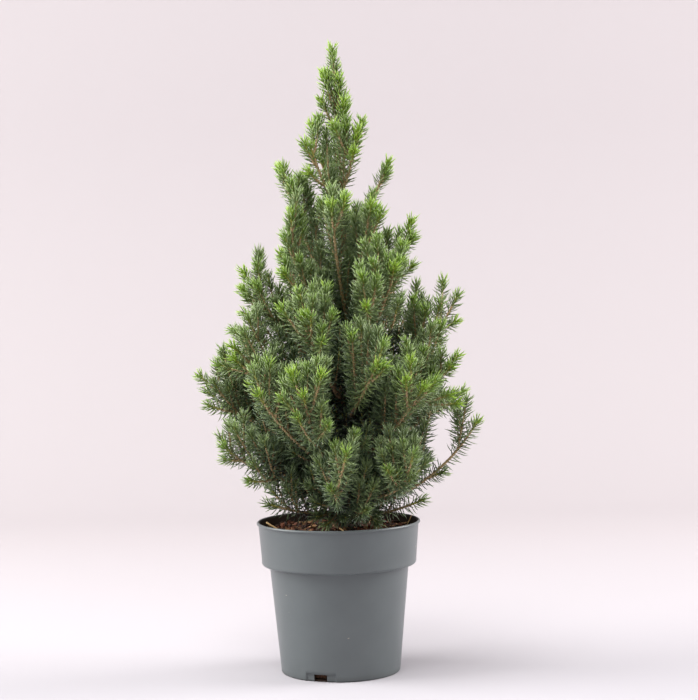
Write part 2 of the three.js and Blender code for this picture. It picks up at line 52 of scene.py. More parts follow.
# ---------------------------------------------------------------- driving sizes, in millimetres
POT = {
    "height": 138.0,
    "lip_radius": 75.0,
    "lip_height": 2.6,
    "collar_top": 73.4,
    "collar_foot": 70.8,
    "collar_depth": 35.0,
    "shoulder": 6.0,
    "corner": 2.6,
    "body_top": 63.6,
    "body_foot": 54.6,
    "wall": 1.6,
    "floor": 2.2,
    "base_round": 1.6,
    "step_rise": 1.4,
    "rim_room": 8.0,
}
DRAIN = {"count": 3, "first_angle": 250.0, "width": 28.0, "height": 6.5, "recess": 1.1, "hole": 12.0}
DRAIN_EDGE = 0.25  # the height of the narrow ring over each drain
SOIL = {"edge": 128.5, "seat": 131.0, "lump": 1.4}
TRUNK = {"top": 474.0, "foot": 5.4, "tip": 1.1, "taper": 1.35, "flare": 3.4, "flare_height": 7.0}
BOW = {"most": 11.0, "shape": 0.75, "lean": 1.6}
TREE_TOP = 573.0
CROWN = {"radius": 131.0, "widest": 245.0, "bulge": 0.6, "foot": 150.0, "foot_radius": 64.0, "slack": 5.0}
FOOT_CURVE = 1.6  # how the crown below its widest level curves in to the pot
LEAN = {"most": 10.0, "height": 345.0, "spread": 50.0}

# Boughs: azimuth in degrees (0 is +X, 90 is +Y), height of the foot on the trunk, reach and height of
# the tip.
BOUGHS = {
    "skirt": [
        (208, 168, 117, 216),
        (266, 150, 102, 181),
        (307, 156, 111, 189),
        (352, 146, 131, 232),
        (52, 155, 112, 205),
        (126, 160, 114, 196),
    ],
    "lower": [
        (184, 192, 127, 277),
        (236, 181, 123, 264),
        (257, 172, 126, 264),
        (306, 187, 131, 268),
        (20, 194, 122, 254),
        (88, 180, 122, 262),
        (150, 176, 120, 244),
    ],
    "middle": [
        (352, 221, 115, 347),
        (206, 236, 105, 304),
        (254, 243, 96, 332),
        (288, 229, 121, 288),
        (330, 212, 127, 293),
        (54, 238, 106, 334),
        (118, 228, 106, 322),
    ],
}
# Sprays: shoots that leave the trunk itself, low over the soil and from the small upper boughs upwards.
SPRAYS = [
    (213, 142, 80, 161),
    (289, 139, 79, 158),
    (350, 137, 83, 159),
    (181, 262, 85, 372),
    (314, 276, 84, 378),
    (354, 292, 73, 416),
    (220, 292, 58, 402),
    (128, 290, 74, 392),
    (70, 300, 72, 404),
    (185, 324, 46, 467),
    (268, 318, 57, 429),
    (305, 334, 61, 429),
    (357, 400, 53, 469),
    (92, 384, 39, 468),
    (226, 420, 29, 483),
    (324, 440, 30, 497),
]
# Lead shoots: side shoots that reach a tip of the crown, given as azimuth, reach and height of the tip.
LEAD_TIPS = [
    (242, 8, 550), (313, 12, 545), (220, 13, 526), (314, 19, 524), (193, 18, 505), (272, 23, 502),
    (300, 40, 476), (236, 43, 458), (225, 53, 424), (350, 76, 399), (349, 76, 374), (350, 115, 322),
    (295, 80, 376), (184, 85, 355), (183, 87, 332), (236, 87, 338), (251, 93, 331), (286, 96, 337),
    (230, 73, 368), (339, 102, 341), (292, 113, 304), (264, 107, 307), (251, 119, 284), (231, 116, 286),
    (195, 113, 286), (187, 98, 316), (192, 122, 249), (247, 125, 261), (267, 127, 237), (265, 122, 282),
    (302, 121, 292), (312, 132, 273), (320, 132, 258), (327, 132, 249), (302, 124, 211), (291, 116, 197),
    (274, 123, 215), (206, 116, 202), (218, 103, 183),
]  # fmt: skip
# Openings that run through the crown from front to back, between its tips: X, height and radius of each.
OPENINGS = np.array(
    [
        (-32, 465, 9), (31, 456, 9), (25, 435, 9), (55, 412, 9), (52, 386, 7), (-15, 456, 6), (-55, 379, 9),
        (-58, 399, 10), (86, 369, 9), (89, 347, 9), (104, 265, 9),
        (98, 209, 14), (-82, 178, 11), (58, 148, 9), (-98, 307, 8),
    ]
)  # fmt: skip
BEND = {"reach": 0.6, "rise": 0.3, "sway": 7.0}
SKIRT_BEND = {"reach": 0.68, "rise": 0.14}
BOUGH = {"share": 0.36, "foot": 2.3, "foot_by_span": 0.006, "tip": 1.5}
SIDE = {
    "first": 0.1,
    "last": 0.8,
    "spacing": 60.0,
    "angle": 48.0,
    "top_angle": 26.0,
    "rise": 0.45,
    "turn": 137.5,
    "wobble": 10.0,
}
SIDE_LENGTH = {
    "share": 0.62,
    "spread": 0.3,
    "extra": 12.0,
    "longest": 60.0,
    "shortest": 20.0,
    "lift": 0.3,
    "drawn_in": 0.4,
}
SPRAY_FORKS = 0.36
LONE = {"sine": 0.3, "spacing": 26.0, "more": 1, "longer": 1.3}
LEAD = {
    "first": 0.05,
    "last": 0.85,
    "step": 0.05,
    "angle": 32.0,
    "top_angle": 12.0,
    "widest": 75.0,
    "length": 40.0,
    "ease": 0.7,
    "sag": 0.1,
    "slack": 9.0,
}
CLEAR = {"limb": 4.2, "shoot": 6.5, "lead": 4.4, "start": 9.0}
STEP = 10.0  # between the points at which a side shoot's room is tested
POT_ROOM = 8.0
STEM_ROOM, SIDE_ROOM = 1.8, 1.53  # radii that a limb's stem and its side shoots take up
GAP = 0.3

# Finer twigs, which only this file grows: on shoots, on bare boughs and on the trunk.
TWIG = {
    "pitch": 10.0,
    "first": 5.0,
    "last": 24.0,
    "angle": 31.0,
    "top_angle": 20.0,
    "wobble": 10.0,
    "share": 0.66,
    "extra": 12.0,
    "longest": 62.0,
    "shortest": 15.0,
    "shorter": 0.72,
    "rise": 1.1,
    "lift": 0.18,
    "reach": 0.9,
    "arch": 0.04,
    "rolls": 8,
    "room": 11.5,
    "top_room": 8.0,
    "wood_room": 3.0,
    "half_wood_room": 2.0,
    "pot_room": 4.0,
    "from_opening": 2.0,
    "edge": -10.0,
    "edge_share": 0.3,
    "sparse": 1.3,
    "radius": 1.0,
    "own_foot": 0.3,
    "most_free": 16.0,
    "most_beside": 8.0,
    "beside_share": 0.5,
}
# The finest twigs, on twigs longer than a least length.
FINE = {
    "least": 22.0,
    "pitch": 10.0,
    "first": 6.0,
    "last": 14.0,
    "longest": 24.0,
    "share": 0.7,
    "edge": -16.0,
}
# Twigs inside the crown, on the bare boughs and near the foot of every shoot.
INNER = {"pitch": 4.0, "from": 0.1, "length": 36.0, "angle": 0.96, "room": 6.0, "foot": 0.36, "edge": -12.0}
TRUNK_TWIG = {
    "from": 138.0,
    "to": 302.0,
    "pitch": 2.0,
    "length": 38.0,
    "low_length": 74.0,
    "low": 190.0,
    "lowest": 150.0,
    "rise": 0.8,
    "low_rise": 0.4,
    "lowest_rise": 0.1,
    "edge": 8.0,
    "edge_share": 0.25,
    "sag": 2.0,
    "pot_room": 2.0,
}
# Below this height the trunk's twigs are coarse, with dark needles that are painted shade inside the crown.
DARK_BELOW = 296.0  # the twigs on the trunk are dark and coarse below this height
# A hollow in the front of the crown, where no fine twig hides the dark inside: X, height, half width and
# half height.
HOLLOW = {"x": 6.0, "z": 256.0, "wide": 17.0, "high": 33.0, "front": -22.0}
LINE_STEP = 2.5  # between the rings of a stem

# Needles on a shoot's older part, on its new end, and on the twigs inside the crown.
OLD = {
    "length": 11.2,
    "top_length": 12.6,
    "width": 0.98,
    "pitch": 0.6,
    "top_pitch": 0.92,
    "lean": 76.0,
    "top_lean": 44.0,
    "curl": 6.0,
    "dip": 10.0,
    "dip_over": 7.0,
}
NEW = {
    "length": 10.6,
    "tip_share": 0.92,
    "width": 1.0,
    "pitch": 0.34,
    "lean": 48.0,
    "tip_lean": 27.0,
    "closing": 0.6,
    "span": 11.5,
    "top_span": 17.0,
    "most": 0.5,
}
INSIDE = {"length": 10.5, "width": 1.5, "pitch": 1.1}
NEEDLE = {"bare": 1.5, "off_axis": 0.5, "lean_spread": 32.0, "grown": 7.0, "wider_on_top": 0.25, "foot": 0.42}
NEEDLED_TRUNK = 436.0  # above this height the trunk itself carries needles
# Where the sky shows through between shoots, so that no needle ends there: X, height and radius.
GLIMPSES = np.array(
    [(100, 199, 10), (-14, 466, 8), (-17, 479, 6), (34, 448, 5), (-24, 436, 4), (-30, 350, 4)]
)
NEEDLE_BEND = 0.64  # the share of its length at which a needle is widest and turns
# High at the back the needles are set farther apart.
BACK = {"y": 15.0, "z": 300.0, "sparser": 1.5}
TIP_ROOM = 4.5  # the needles at a shoot's tip reach this far past its stem
TRUNK_OWNER = -1  # the owner number of the trunk and the twigs on it
TRUNK_ITSELF = -2  # the owner number of the needled trunk

# Lightness of the needles: the base by place, and how keen a shoot's new end is. The base is partly the
# real darkness of older needles and partly painted shade, darker deep in the crown and most on the twigs
# inside it. The lists are by order: a limb's stem, side shoots, twigs, and the twigs inside the crown. Low
# shoots are dimmer.
LIGHT = {
    "least": 0.06,
    "outer": 0.27,
    "depth": 4.0,
    "fade": 60.0,
    "fade_on_top": 60.0,
    "orders": (1.0, 1.0, 0.9, 0.35),
    "dim": 0.62,
    "dim_foot": 150.0,
    "dim_over": 90.0,
    "top": 0.3,
    "top_fall": 0.3,
    "spread": 0.22,
}
KEEN = {
    "orders": (0.8, 0.62, 0.24, 0.2),
    "top": 0.1,
    "spread": 0.7,
    "least": 0.12,
    "most": 0.95,
    "dim": 0.35,
    "early": 1.35,
    "curve": 1.2,
}


# ---------------------------------------------------------------- numbers and lines
def chance(a, b, c):
    """A number from 0 to 1 that depends only on its three seeds, as in the solids."""
    s = np.sin(a * 12.9898 + b * 78.233 + c * 37.719) * 43758.5453
    return s - np.floor(s)


def mix(a, b, t):
    """The value a share t of the way from a to b."""
    return a + (b - a) * t


def unit(v):
    """Vectors scaled to length 1."""
    return v / np.maximum(np.linalg.norm(v, axis=-1, keepdims=True), 1e-9)


def polar(azimuth, reach, z):
    """The point at an azimuth in degrees, a distance from the axis and a height."""
    a = math.radians(azimuth)
    return np.array([reach * math.cos(a), reach * math.sin(a), z])


class Line:
    """A curve as 401 dense points, read at shares of its length."""

    def __init__(self, points):
        self.points = points
        steps = np.linalg.norm(np.diff(points, axis=0), axis=1)
        self.gone = np.concatenate([[0.0], np.cumsum(steps)])
        self.span = self.gone[-1]

    def at(self, share):
        """The point at a share of the length."""
        s = np.asarray(share) * self.span
        return np.stack([np.interp(s, self.gone, self.points[:, i]) for i in range(3)], -1)

    def way(self, share):
        """The direction of the curve at a share of the length."""
        return unit(self.at(min(1.0, share + 0.005)) - self.at(max(0.0, share - 0.005)))

    def even(self, start, end, step):
        """Even points between two shares of the length, about a step apart."""
        count = max(2, int(self.span * (end - start) / step + 0.5))
        return self.at(np.linspace(start, end, count + 1))


def bent(start, bend, end):
    """A quadratic curve: (1-t)^2 start + 2t(1-t) bend + t^2 end."""
    t = np.linspace(0, 1, 401)[:, None]
    return Line((1 - t) ** 2 * start + 2 * t * (1 - t) * bend + t * t * end)


def frames_along(path):
    """Direction, side and across at each point of a path. The side is carried on from point to point, so it
    turns with the path and doesn't twist about it."""
    ways = unit(np.gradient(path, axis=0))
    side = np.cross(ways[0], UP)
    if np.linalg.norm(side) < 1e-3:
        side = np.array([1.0, 0.0, 0.0])
    sides = np.empty_like(path)
    for i, way in enumerate(ways):
        side = side - way * (side @ way)
        side = side / np.linalg.norm(side)
        sides[i] = side
    return ways, sides, np.cross(ways, sides)


# ---------------------------------------------------------------- trunk, crown and limbs
def growth(z):
    """A height as a share of the plant, from 0 at the soil to 1 at the top."""
    return np.clip((z - SOIL["seat"]) / (TREE_TOP - SOIL["seat"]), 0, 1)


def trunk_axis(z):
    """The trunk bows to one side in a long sine of the height, and comes back under its own top."""
    up = growth(z)
    x = BOW["most"] * np.sin(np.pi * up ** BOW["shape"]) + BOW["lean"] * up
    return np.stack([x, np.zeros_like(x), np.asarray(z, float) + 0 * x], -1)


def trunk_radius(z):
    """The radius is a power of the height that is left, plus an exponential flare at the soil."""
    left = np.maximum(0, 1 - growth(z) / growth(TRUNK["top"]))
    flare = TRUNK["flare"] * np.exp((SOIL["seat"] - z) / TRUNK["flare_height"])
    return mix(TRUNK["tip"], TRUNK["foot"], left ** TRUNK["taper"]) + flare


def crown_radius(z):
    """A bulging cone above the widest level, a curve in to the pot below it."""
    left = np.clip((TREE_TOP - z) / (TREE_TOP - CROWN["widest"]), 1e-6, 1)
    cone = CROWN["radius"] * left ** (1 - CROWN["bulge"] * left * left)
    down = np.clip((CROWN["widest"] - z) / (CROWN["widest"] - CROWN["foot"]), 0, 1)
    bowl = CROWN["radius"] - (CROWN["radius"] - CROWN["foot_radius"]) * down**FOOT_CURVE
    return np.where(z >= CROWN["widest"], cone, bowl)


def outside_crown(point):
    """How far a point lies outside the crown, which stands a little to +X half way up."""
    lean = LEAN["most"] * np.exp(-(((point[..., 2] - LEAN["height"]) / LEAN["spread"]) ** 2))
    return np.hypot(point[..., 0] - lean, point[..., 1]) - crown_radius(point[..., 2])


def in_opening(point, extra=0.0):
    """Whether a point lies in a gap right through the crown, or within an extra distance of one."""
    away = np.hypot(OPENINGS[:, 0] - point[0], OPENINGS[:, 1] - point[2])
    return bool((away < OPENINGS[:, 2] + extra).any())


def in_hollow(point):
    """Whether a point lies in the hollow: an ellipse in X and Z, in the front of the crown."""
    across = (point[0] - HOLLOW["x"]) / HOLLOW["wide"]
    up = (point[2] - HOLLOW["z"]) / HOLLOW["high"]
    return point[1] < HOLLOW["front"] and math.hypot(across, up) < 1


def in_pot(point, room):
    """Whether a point lies lower than the soil, or lower than the rim and out at its wall or past it, with
    some room kept from each."""
    out = math.hypot(point[0], point[1])
    if point[2] < SOIL["seat"] + room:
        return True
    return point[2] < POT["height"] + room and out > POT["lip_radius"] - POT["rim_room"] - room


def limb_line(row, seed, turn):
    """A limb goes out first and then up, with a little sway to one side."""
    azimuth, foot, reach, tip = row
    start = trunk_axis(foot)
    sway = azimuth + BEND["sway"] * (2 * chance(seed, 1, 2) - 1)
    bend = polar(sway, reach * turn["reach"], mix(foot, tip, turn["rise"]))
    bend[0] += start[0] * (1 - turn["reach"])
    return bent(start, bend, polar(azimuth, reach, tip))


def planned_limbs():
    """Every bough, then every spray, then the leader, numbered in that order from 1."""
    limbs = []

    def add(name, row, wood, forks_from, turn=BEND):
        seed = len(limbs) + 1
        lone = math.sin(math.radians(row[0])) > LONE["sine"]
        angle = mix(SIDE["angle"], SIDE["top_angle"], float(growth(row[1])))
        line = limb_line(row, seed, turn)
        limb = dict(name=name, seed=seed, wood=wood, forks=forks_from, lone=lone, angle=angle, line=line)
        limbs.append(limb)

    for tier, rows in BOUGHS.items():
        for i, row in enumerate(rows):
            turn = SKIRT_BEND if tier == "skirt" else BEND
            add(f"{tier}_{i + 1}", row, BOUGH["share"], BOUGH["share"], turn)
    for i, row in enumerate(SPRAYS):
        add(f"spray_{i + 1}", row, 0.0, SPRAY_FORKS)
    leader = Line(trunk_axis(np.linspace(TRUNK["top"] + GAP, TREE_TOP, 401)))
    seed = len(limbs) + 1
    limbs.append(
        dict(name="leader", seed=seed, wood=0.0, forks=0.0, lone=False, angle=SIDE["top_angle"], line=leader)
    )
    return limbs


# ---------------------------------------------------------------- room for shoots
class Room:
    """Segments that shoots keep clear of, each with a radius and the number of the mass it belongs to."""

    def __init__(self):
        self.starts = np.empty((0, 3))
        self.ends = np.empty((0, 3))
        self.radii = np.empty(0)
        self.owners = np.empty(0, int)

    def add(self, path, radius, owner):
        """Takes up the segments of a path."""
        count = len(path) - 1
        self.starts = np.vstack([self.starts, path[:-1]])
        self.ends = np.vstack([self.ends, path[1:]])
        self.radii = np.append(self.radii, np.full(count, radius))
        self.owners = np.append(self.owners, np.full(count, owner))

    def nearest(self, point, but=None):
        """Distance from a point to the nearest segment's surface, leaving out one owner's."""
        keep = slice(None) if but is None else self.owners != but
        a, b = self.starts[keep], self.ends[keep]
        if not len(a):
            return math.inf
        ab = b - a
        t = np.clip(((point - a) * ab).sum(1) / np.maximum((ab * ab).sum(1), 1e-9), 0, 1)
        return float((np.linalg.norm(a + ab * t[:, None] - point, axis=1) - self.radii[keep]).min())

    def nearest_all(self, points):
        """The same for several points at once, with no owner left out."""
        a, ab = self.starts[None], (self.ends - self.starts)[None]
        off = points[:, None] - a
        t = np.clip((off * ab).sum(-1) / np.maximum((ab * ab).sum(-1), 1e-9), 0, 1)
        return (np.linalg.norm(ab * t[..., None] - off, axis=-1) - self.radii).min(1)


def side_line(line, at, angle, roll, length, lift):
    """A side shoot leaves its parent at an angle, rolled round it, and its end turns up by a share."""
    start = line.at(at)
    way = line.way(at)
    flat = unit(np.cross(way, UP))
    over = np.cross(flat, way)
    out = flat * math.cos(roll) + over * math.sin(roll)
    ahead = unit(way * math.cos(angle) + out * math.sin(angle) + UP * SIDE["rise"])
    end = start + ahead * length * (1 - lift * SIDE_LENGTH["drawn_in"]) + UP * length * lift
    return bent(start, start + ahead * length / 2, end)


def grown_share(line, owner, wood, shoots, lead):
    """The share of a side shoot that keeps to the crown and clear of the limbs and the shoots of others."""
    points = line.even(0, 1, STEP)
    kept = 1
    for point in points[1:]:
        off = np.linalg.norm(point - points[0])
        if outside_crown(point) > (LEAD if lead else CROWN)["slack"] or in_pot(point, POT_ROOM):
            break
        if not lead and in_opening(point):
            break
        if off > CLEAR["start"] and wood.nearest(point) < CLEAR["limb"]:
            break
        if shoots.nearest(point, owner) < CLEAR["lead" if lead else "shoot"]:
            break
        kept += 1
    return (kept - 1) / (len(points) - 1)


def lead_shoot(tip, limbs, wood, room):
    """A side shoot to a known tip. Of the places on all limbs that it could leave from, it takes the first
    that lets it grow whole, in order of how near it comes there to the usual length and angle."""
    end = polar(*tip)
    usual = mix(LEAD["angle"], LEAD["top_angle"], float(growth(end[2])) ** 2)
    places = []
    for limb in limbs:
        for at in np.arange(LEAD["first"], LEAD["last"] - 1e-9, LEAD["step"]):
            if at < limb["forks"]:
                continue
            start = limb["line"].at(at)
            length = np.linalg.norm(end - start)
            angle = math.degrees(math.acos(np.clip((end - start) @ limb["line"].way(at) / length, -1, 1)))
            if angle > LEAD["widest"] or length < SIDE_LENGTH["shortest"] or end[2] < start[2]:
                continue
            unease = LEAD["ease"] * abs(length - LEAD["length"]) + abs(angle - usual)
            places.append((unease, length, limb, start))
    for _, length, limb, start in sorted(places, key=lambda place: place[0]):
        line = bent(start, (start + end) / 2 - UP * length * LEAD["sag"], end)
        if grown_share(line, limb["seed"], wood, room, True) > 1 - 1e-6:
            return line, limb
    return None, None


def part_of(line, start, end):
    """The part of a line between two shares of its length."""
    return Line(line.at(np.linspace(start, end, 401)))


def grow_shoots(limbs):
    """The stems and side shoots of the solids: every limb's stem, then the lead shoots, then each limb's
    side shoots in turn."""
    wood, room = Room(), Room()
    rings = np.array([0, 0.01, 0.025, 0.05, 0.1, 0.2, 0.3, 0.4, 0.5, 0.6, 0.7, 0.8, 0.9, 1])
    wood.add(trunk_axis(mix(SOIL["seat"], TRUNK["top"], rings)), TRUNK["tip"] * 2, TRUNK_OWNER)
    shoots = []
    for limb in limbs:
        if limb["wood"]:
            wood.add(limb["line"].even(0, limb["wood"], STEP), BOUGH["tip"] + GAP, limb["seed"])
        stem = part_of(limb["line"], limb["wood"], 1)
        room.add(stem.even(0, 1, STEP), STEM_ROOM, limb["seed"])
        shoots.append(dict(line=stem, owner=limb["seed"], order=0, wood=bool(limb["wood"])))
    for tip in LEAD_TIPS:
        line, limb = lead_shoot(tip, limbs, wood, room)
        if line:
            room.add(line.even(0, 1, STEP), SIDE_ROOM, limb["seed"])
            shoots.append(dict(line=line, owner=limb["seed"], order=1, wood=False))
    for limb in limbs:
        line = limb["line"]
        spacing = (LONE if limb["lone"] else SIDE)["spacing"]
        count = int(line.span * (1 - limb["forks"]) / spacing) + 1 + (LONE["more"] if limb["lone"] else 0)
        own = []
        for order in range(count):
            at = mix(limb["forks"], 1, mix(SIDE["first"], SIDE["last"], (order + 0.5) / count))
            angle = math.radians(limb["angle"] + SIDE["wobble"] * (chance(limb["seed"], order, 5) - 0.5))
            share = SIDE_LENGTH["share"] + SIDE_LENGTH["spread"] * chance(limb["seed"], order, 6)
            left = line.span * (1 - at) * share * (LONE["longer"] if limb["lone"] else 1)
            length = min(SIDE_LENGTH["longest"], left + SIDE_LENGTH["extra"])
            roll = math.radians(SIDE["turn"] * order + 360 * chance(limb["seed"], 3, 4))
            side = side_line(line, at, angle, roll, length, SIDE_LENGTH["lift"])
            kept = grown_share(side, limb["seed"], wood, room, False)
            if side.span * kept >= SIDE_LENGTH["shortest"]:
                own.append(part_of(side, 0, kept))
        for side in own:
            room.add(side.even(0, 1, STEP), SIDE_ROOM, limb["seed"])
            shoots.append(dict(line=side, owner=limb["seed"], order=1, wood=False))
    return shoots, wood, room


def grow_twigs(shoots, limbs, wood, room):
    """Finer twigs, which look for free room: at each place on a shoot, a bare bough or the trunk, several
    rolls are tried, and the one whose twig ends farthest from all other shoots is kept."""
    twigs = []

    def keep(twig, own, order):
        """Adds a twig, and takes up its room but for its foot."""
        twigs.append(dict(line=twig, owner=own, order=order, wood=False))
        room.add(twig.even(TWIG["own_foot"], 1, STEP), TWIG["radius"], own)

    def sprout(line, at, angle, length, turn, own, order, edge, rise=TWIG["rise"]):
        """One twig from a share of a line, at an angle in radians, or a shorter one where the whole finds
        no room."""
        start, way = line.at(at), line.way(at)
        flat = unit(np.cross(way, UP) + 1e-6)
        over = np.cross(flat, way)
        roll = (np.arange(TWIG["rolls"]) / TWIG["rolls"] + turn)[:, None] * TAU
        out = flat * np.cos(roll) + over * np.sin(roll)
        ahead = unit(way * math.cos(angle) + out * math.sin(angle) + UP * rise)
        for part in (1.0, TWIG["shorter"]):
            if length * part < TWIG["shortest"]:
                return
            ends = start + ahead * length * part * TWIG["reach"] + UP * length * part * TWIG["lift"]
            halves = (ends + start) / 2 + ahead * length * part * TWIG["arch"]
            free = room.nearest_all(ends)
            least = mix(TWIG["room"], TWIG["top_room"], growth(ends[:, 2]) ** 2)
            if order == 3 or at < INNER["foot"]:
                least = INNER["room"]
            inset = np.minimum(-edge, TWIG["edge_share"] * crown_radius(ends[:, 2]))
            good = (free > least) & (outside_crown(ends) < -inset)
            good &= wood.nearest_all(halves) > TWIG["half_wood_room"]
            good &= wood.nearest_all(ends) > TWIG["wood_room"]
            good &= [not (in_pot(end, TWIG["pot_room"]) or in_hollow(end)) for end in ends]
            good &= [not in_opening(end, TWIG["from_opening"]) for end in ends]
            good &= [not in_opening(half) for half in halves]
            if good.any():
                beside = np.minimum(room.nearest_all(halves), TWIG["most_beside"])
                worth = np.minimum(free, TWIG["most_free"]) + TWIG["beside_share"] * beside
                k = int(np.where(good, worth, -1).argmax())
                keep(bent(start, start + ahead[k] * length * part / 2, ends[k]), own, order)
                return

    def along_shoot(n, shoot, size, order):
        """Twigs at an even pitch along a shoot."""
        line = shoot["line"]
        high = float(growth(line.at(0.5)[2]))
        pitch = size["pitch"] * (1 + TWIG["sparse"] * high**2)
        for i in range(max(0, int((line.span - size["first"] - size["last"]) / pitch) + 1)):
            s = size["first"] + i * pitch
            length = min(size["longest"], size["share"] * (line.span - s) + TWIG["extra"])
            length = length * (0.75 + 0.5 * chance(n, i, 7))
            angle = mix(TWIG["angle"], TWIG["top_angle"], high) + TWIG["wobble"] * (chance(n, i, 9) - 0.5)
            turn, own = chance(n, i, 8), shoot["owner"]
            sprout(line, s / line.span, math.radians(angle), length, turn, own, order, size["edge"])

    def along_bough(limb):
        """Twigs inside the crown, at an even pitch along a bare bough."""
        line, seed = limb["line"], limb["seed"]
        low = limb["name"].startswith("skirt")
        for i, s in enumerate(np.arange(line.span * INNER["from"], line.span * limb["wood"], INNER["pitch"])):
            length = INNER["length"] * (0.7 + 0.6 * chance(seed, i, 11))
            rise = 0.0 if low and i % 2 else TWIG["rise"]
            order, turn = (2 if low else 3), chance(seed, i, 19)
            sprout(line, s / line.span, INNER["angle"], length, turn, seed, order, INNER["edge"], rise)

    def up_trunk():
        """Twigs inside the crown, in a spiral of golden turns up the trunk."""
        trunk = Line(trunk_axis(np.linspace(SOIL["seat"], TRUNK["top"], 401)))
        for i, z in enumerate(np.arange(TRUNK_TWIG["from"], TRUNK_TWIG["to"], TRUNK_TWIG["pitch"])):
            low, lowest = z < TRUNK_TWIG["low"], z < TRUNK_TWIG["lowest"]
            length = TRUNK_TWIG["low_length" if low else "length"] * (0.6 + 0.7 * chance(i, 4, 12))
            rise = TRUNK_TWIG["lowest_rise" if lowest else "low_rise" if low else "rise"]
            start, roll = trunk.at((z - SOIL["seat"]) / (TRUNK["top"] - SOIL["seat"])), GOLDEN * i
            end = start + unit(np.array([math.cos(roll), math.sin(roll), rise])) * length
            inset = min(TRUNK_TWIG["edge"], TRUNK_TWIG["edge_share"] * crown_radius(end[2]))
            if outside_crown(end) >= -inset or room.nearest(end) <= INNER["room"]:
                continue
            if in_pot(end, TRUNK_TWIG["pot_room"]) or in_opening(end):
                continue
            order = 3 if z < DARK_BELOW and not low else 2
            keep(bent(start, (start + end) / 2 - UP * TRUNK_TWIG["sag"], end), TRUNK_OWNER, order)

    for n, shoot in enumerate(shoots):
        along_shoot(n, shoot, TWIG, 2)
    for limb in limbs:
        if limb["wood"]:
            along_bough(limb)
    up_trunk()
    for n, shoot in enumerate(list(twigs)):
        if shoot["line"].span > FINE["least"]:
            along_shoot(n + 500, shoot, FINE, max(2, shoot["order"]))
    return twigs


# ---------------------------------------------------------------- making meshes
def make_piece(name, points, faces, material, replaces=(), smooth=True):
    """One mesh object from points in millimetres and a list of face arrays, each with its own number of
    corners."""
    mesh = bpy.data.meshes.new(name)
    mesh.vertices.add(len(points))
    mesh.vertices.foreach_set("co", (np.asarray(points) * MM).astype(np.float32).ravel())
    corners = np.concatenate([f.ravel() for f in faces]).astype(np.int32)
    sizes = np.concatenate([np.full(len(f), f.shape[1]) for f in faces])
    mesh.loops.add(len(corners))
    mesh.loops.foreach_set("vertex_index", corners)
    mesh.polygons.add(len(sizes))
    starts = np.concatenate([[0], np.cumsum(sizes)[:-1]]).astype(np.int32)
    mesh.polygons.foreach_set("loop_start", starts)
    mesh.polygons.foreach_set("use_smooth", np.full(len(sizes), smooth))
    mesh.update(calc_edges=True)
    mesh.materials.append(material)
    piece = bpy.data.objects.new(name, mesh)
    bpy.context.scene.collection.objects.link(piece)
    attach(piece, "root")
    if replaces:
        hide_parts(*replaces)
    return piece


def grid_faces(rows, columns, closed=True):
    """Quads of a grid whose rows run up and whose columns run round; a closed grid joins its last column to
    its first."""
    r = np.arange(rows - 1)[:, None]
    c = np.arange(columns if closed else columns - 1)[None, :]
    d = (c + 1) % columns
    quads = np.stack([r * columns + c, r * columns + d, (r + 1) * columns + d, (r + 1) * columns + c], -1)
    return quads.reshape(-1, 4)


def tube(path, radii, sides, relief=None):
    """Points and faces of a round limb: at each point of the path a ring of the given radius, with a relief
    factor for each ring and side, and a fan that closes each end."""
    ways, side, across = frames_along(path)
    angle = np.linspace(0, TAU, sides, endpoint=False)
    factor = np.ones((len(path), sides)) if relief is None else relief(len(path), angle)
    reach = np.asarray(radii)[:, None] * factor
    ring = side[:, None] * np.cos(angle)[None, :, None] + across[:, None] * np.sin(angle)[None, :, None]
    points = (path[:, None] + ring * reach[..., None]).reshape(-1, 3)
    quads = grid_faces(len(path), sides)
    points = np.vstack([points, path[0], path[-1] + ways[-1] * radii[-1] * 0.6])
    i = np.arange(sides)
    j = (i + 1) % sides
    last = (len(path) - 1) * sides
    low = np.stack([j, i, np.full(sides, len(points) - 2)], -1)
    high = np.stack([last + i, last + j, np.full(sides, len(points) - 1)], -1)
    return points, quads, np.vstack([low, high])


def joined(parts):
    """Several (points, quads, triangles) as one."""
    points, quads, triangles, base = [], [], [], 0
    for p, q, t in parts:
        points.append(p)
        quads.append(q + base)
        triangles.append(t + base)
        base += len(p)
    return np.vstack(points), np.vstack(quads), np.vstack(triangles)


# ---------------------------------------------------------------- needles
SHADES = ("bud", "fresh", "bright", "leaf", "deep", "shade")


def needle_places(line, fresh, old_count, new_count):
    """Distances along a shoot at which needles stand: even on the older part, and even, but closer, on the
    new end."""
    k = np.arange(old_count + new_count)
    old = NEEDLE["bare"] + (line.span - fresh - NEEDLE["bare"]) * (k + 0.5) / old_count
    new = line.span - fresh + fresh * (k - old_count + 0.5) / max(1, new_count)
    return k, np.where(k < old_count, old, new)


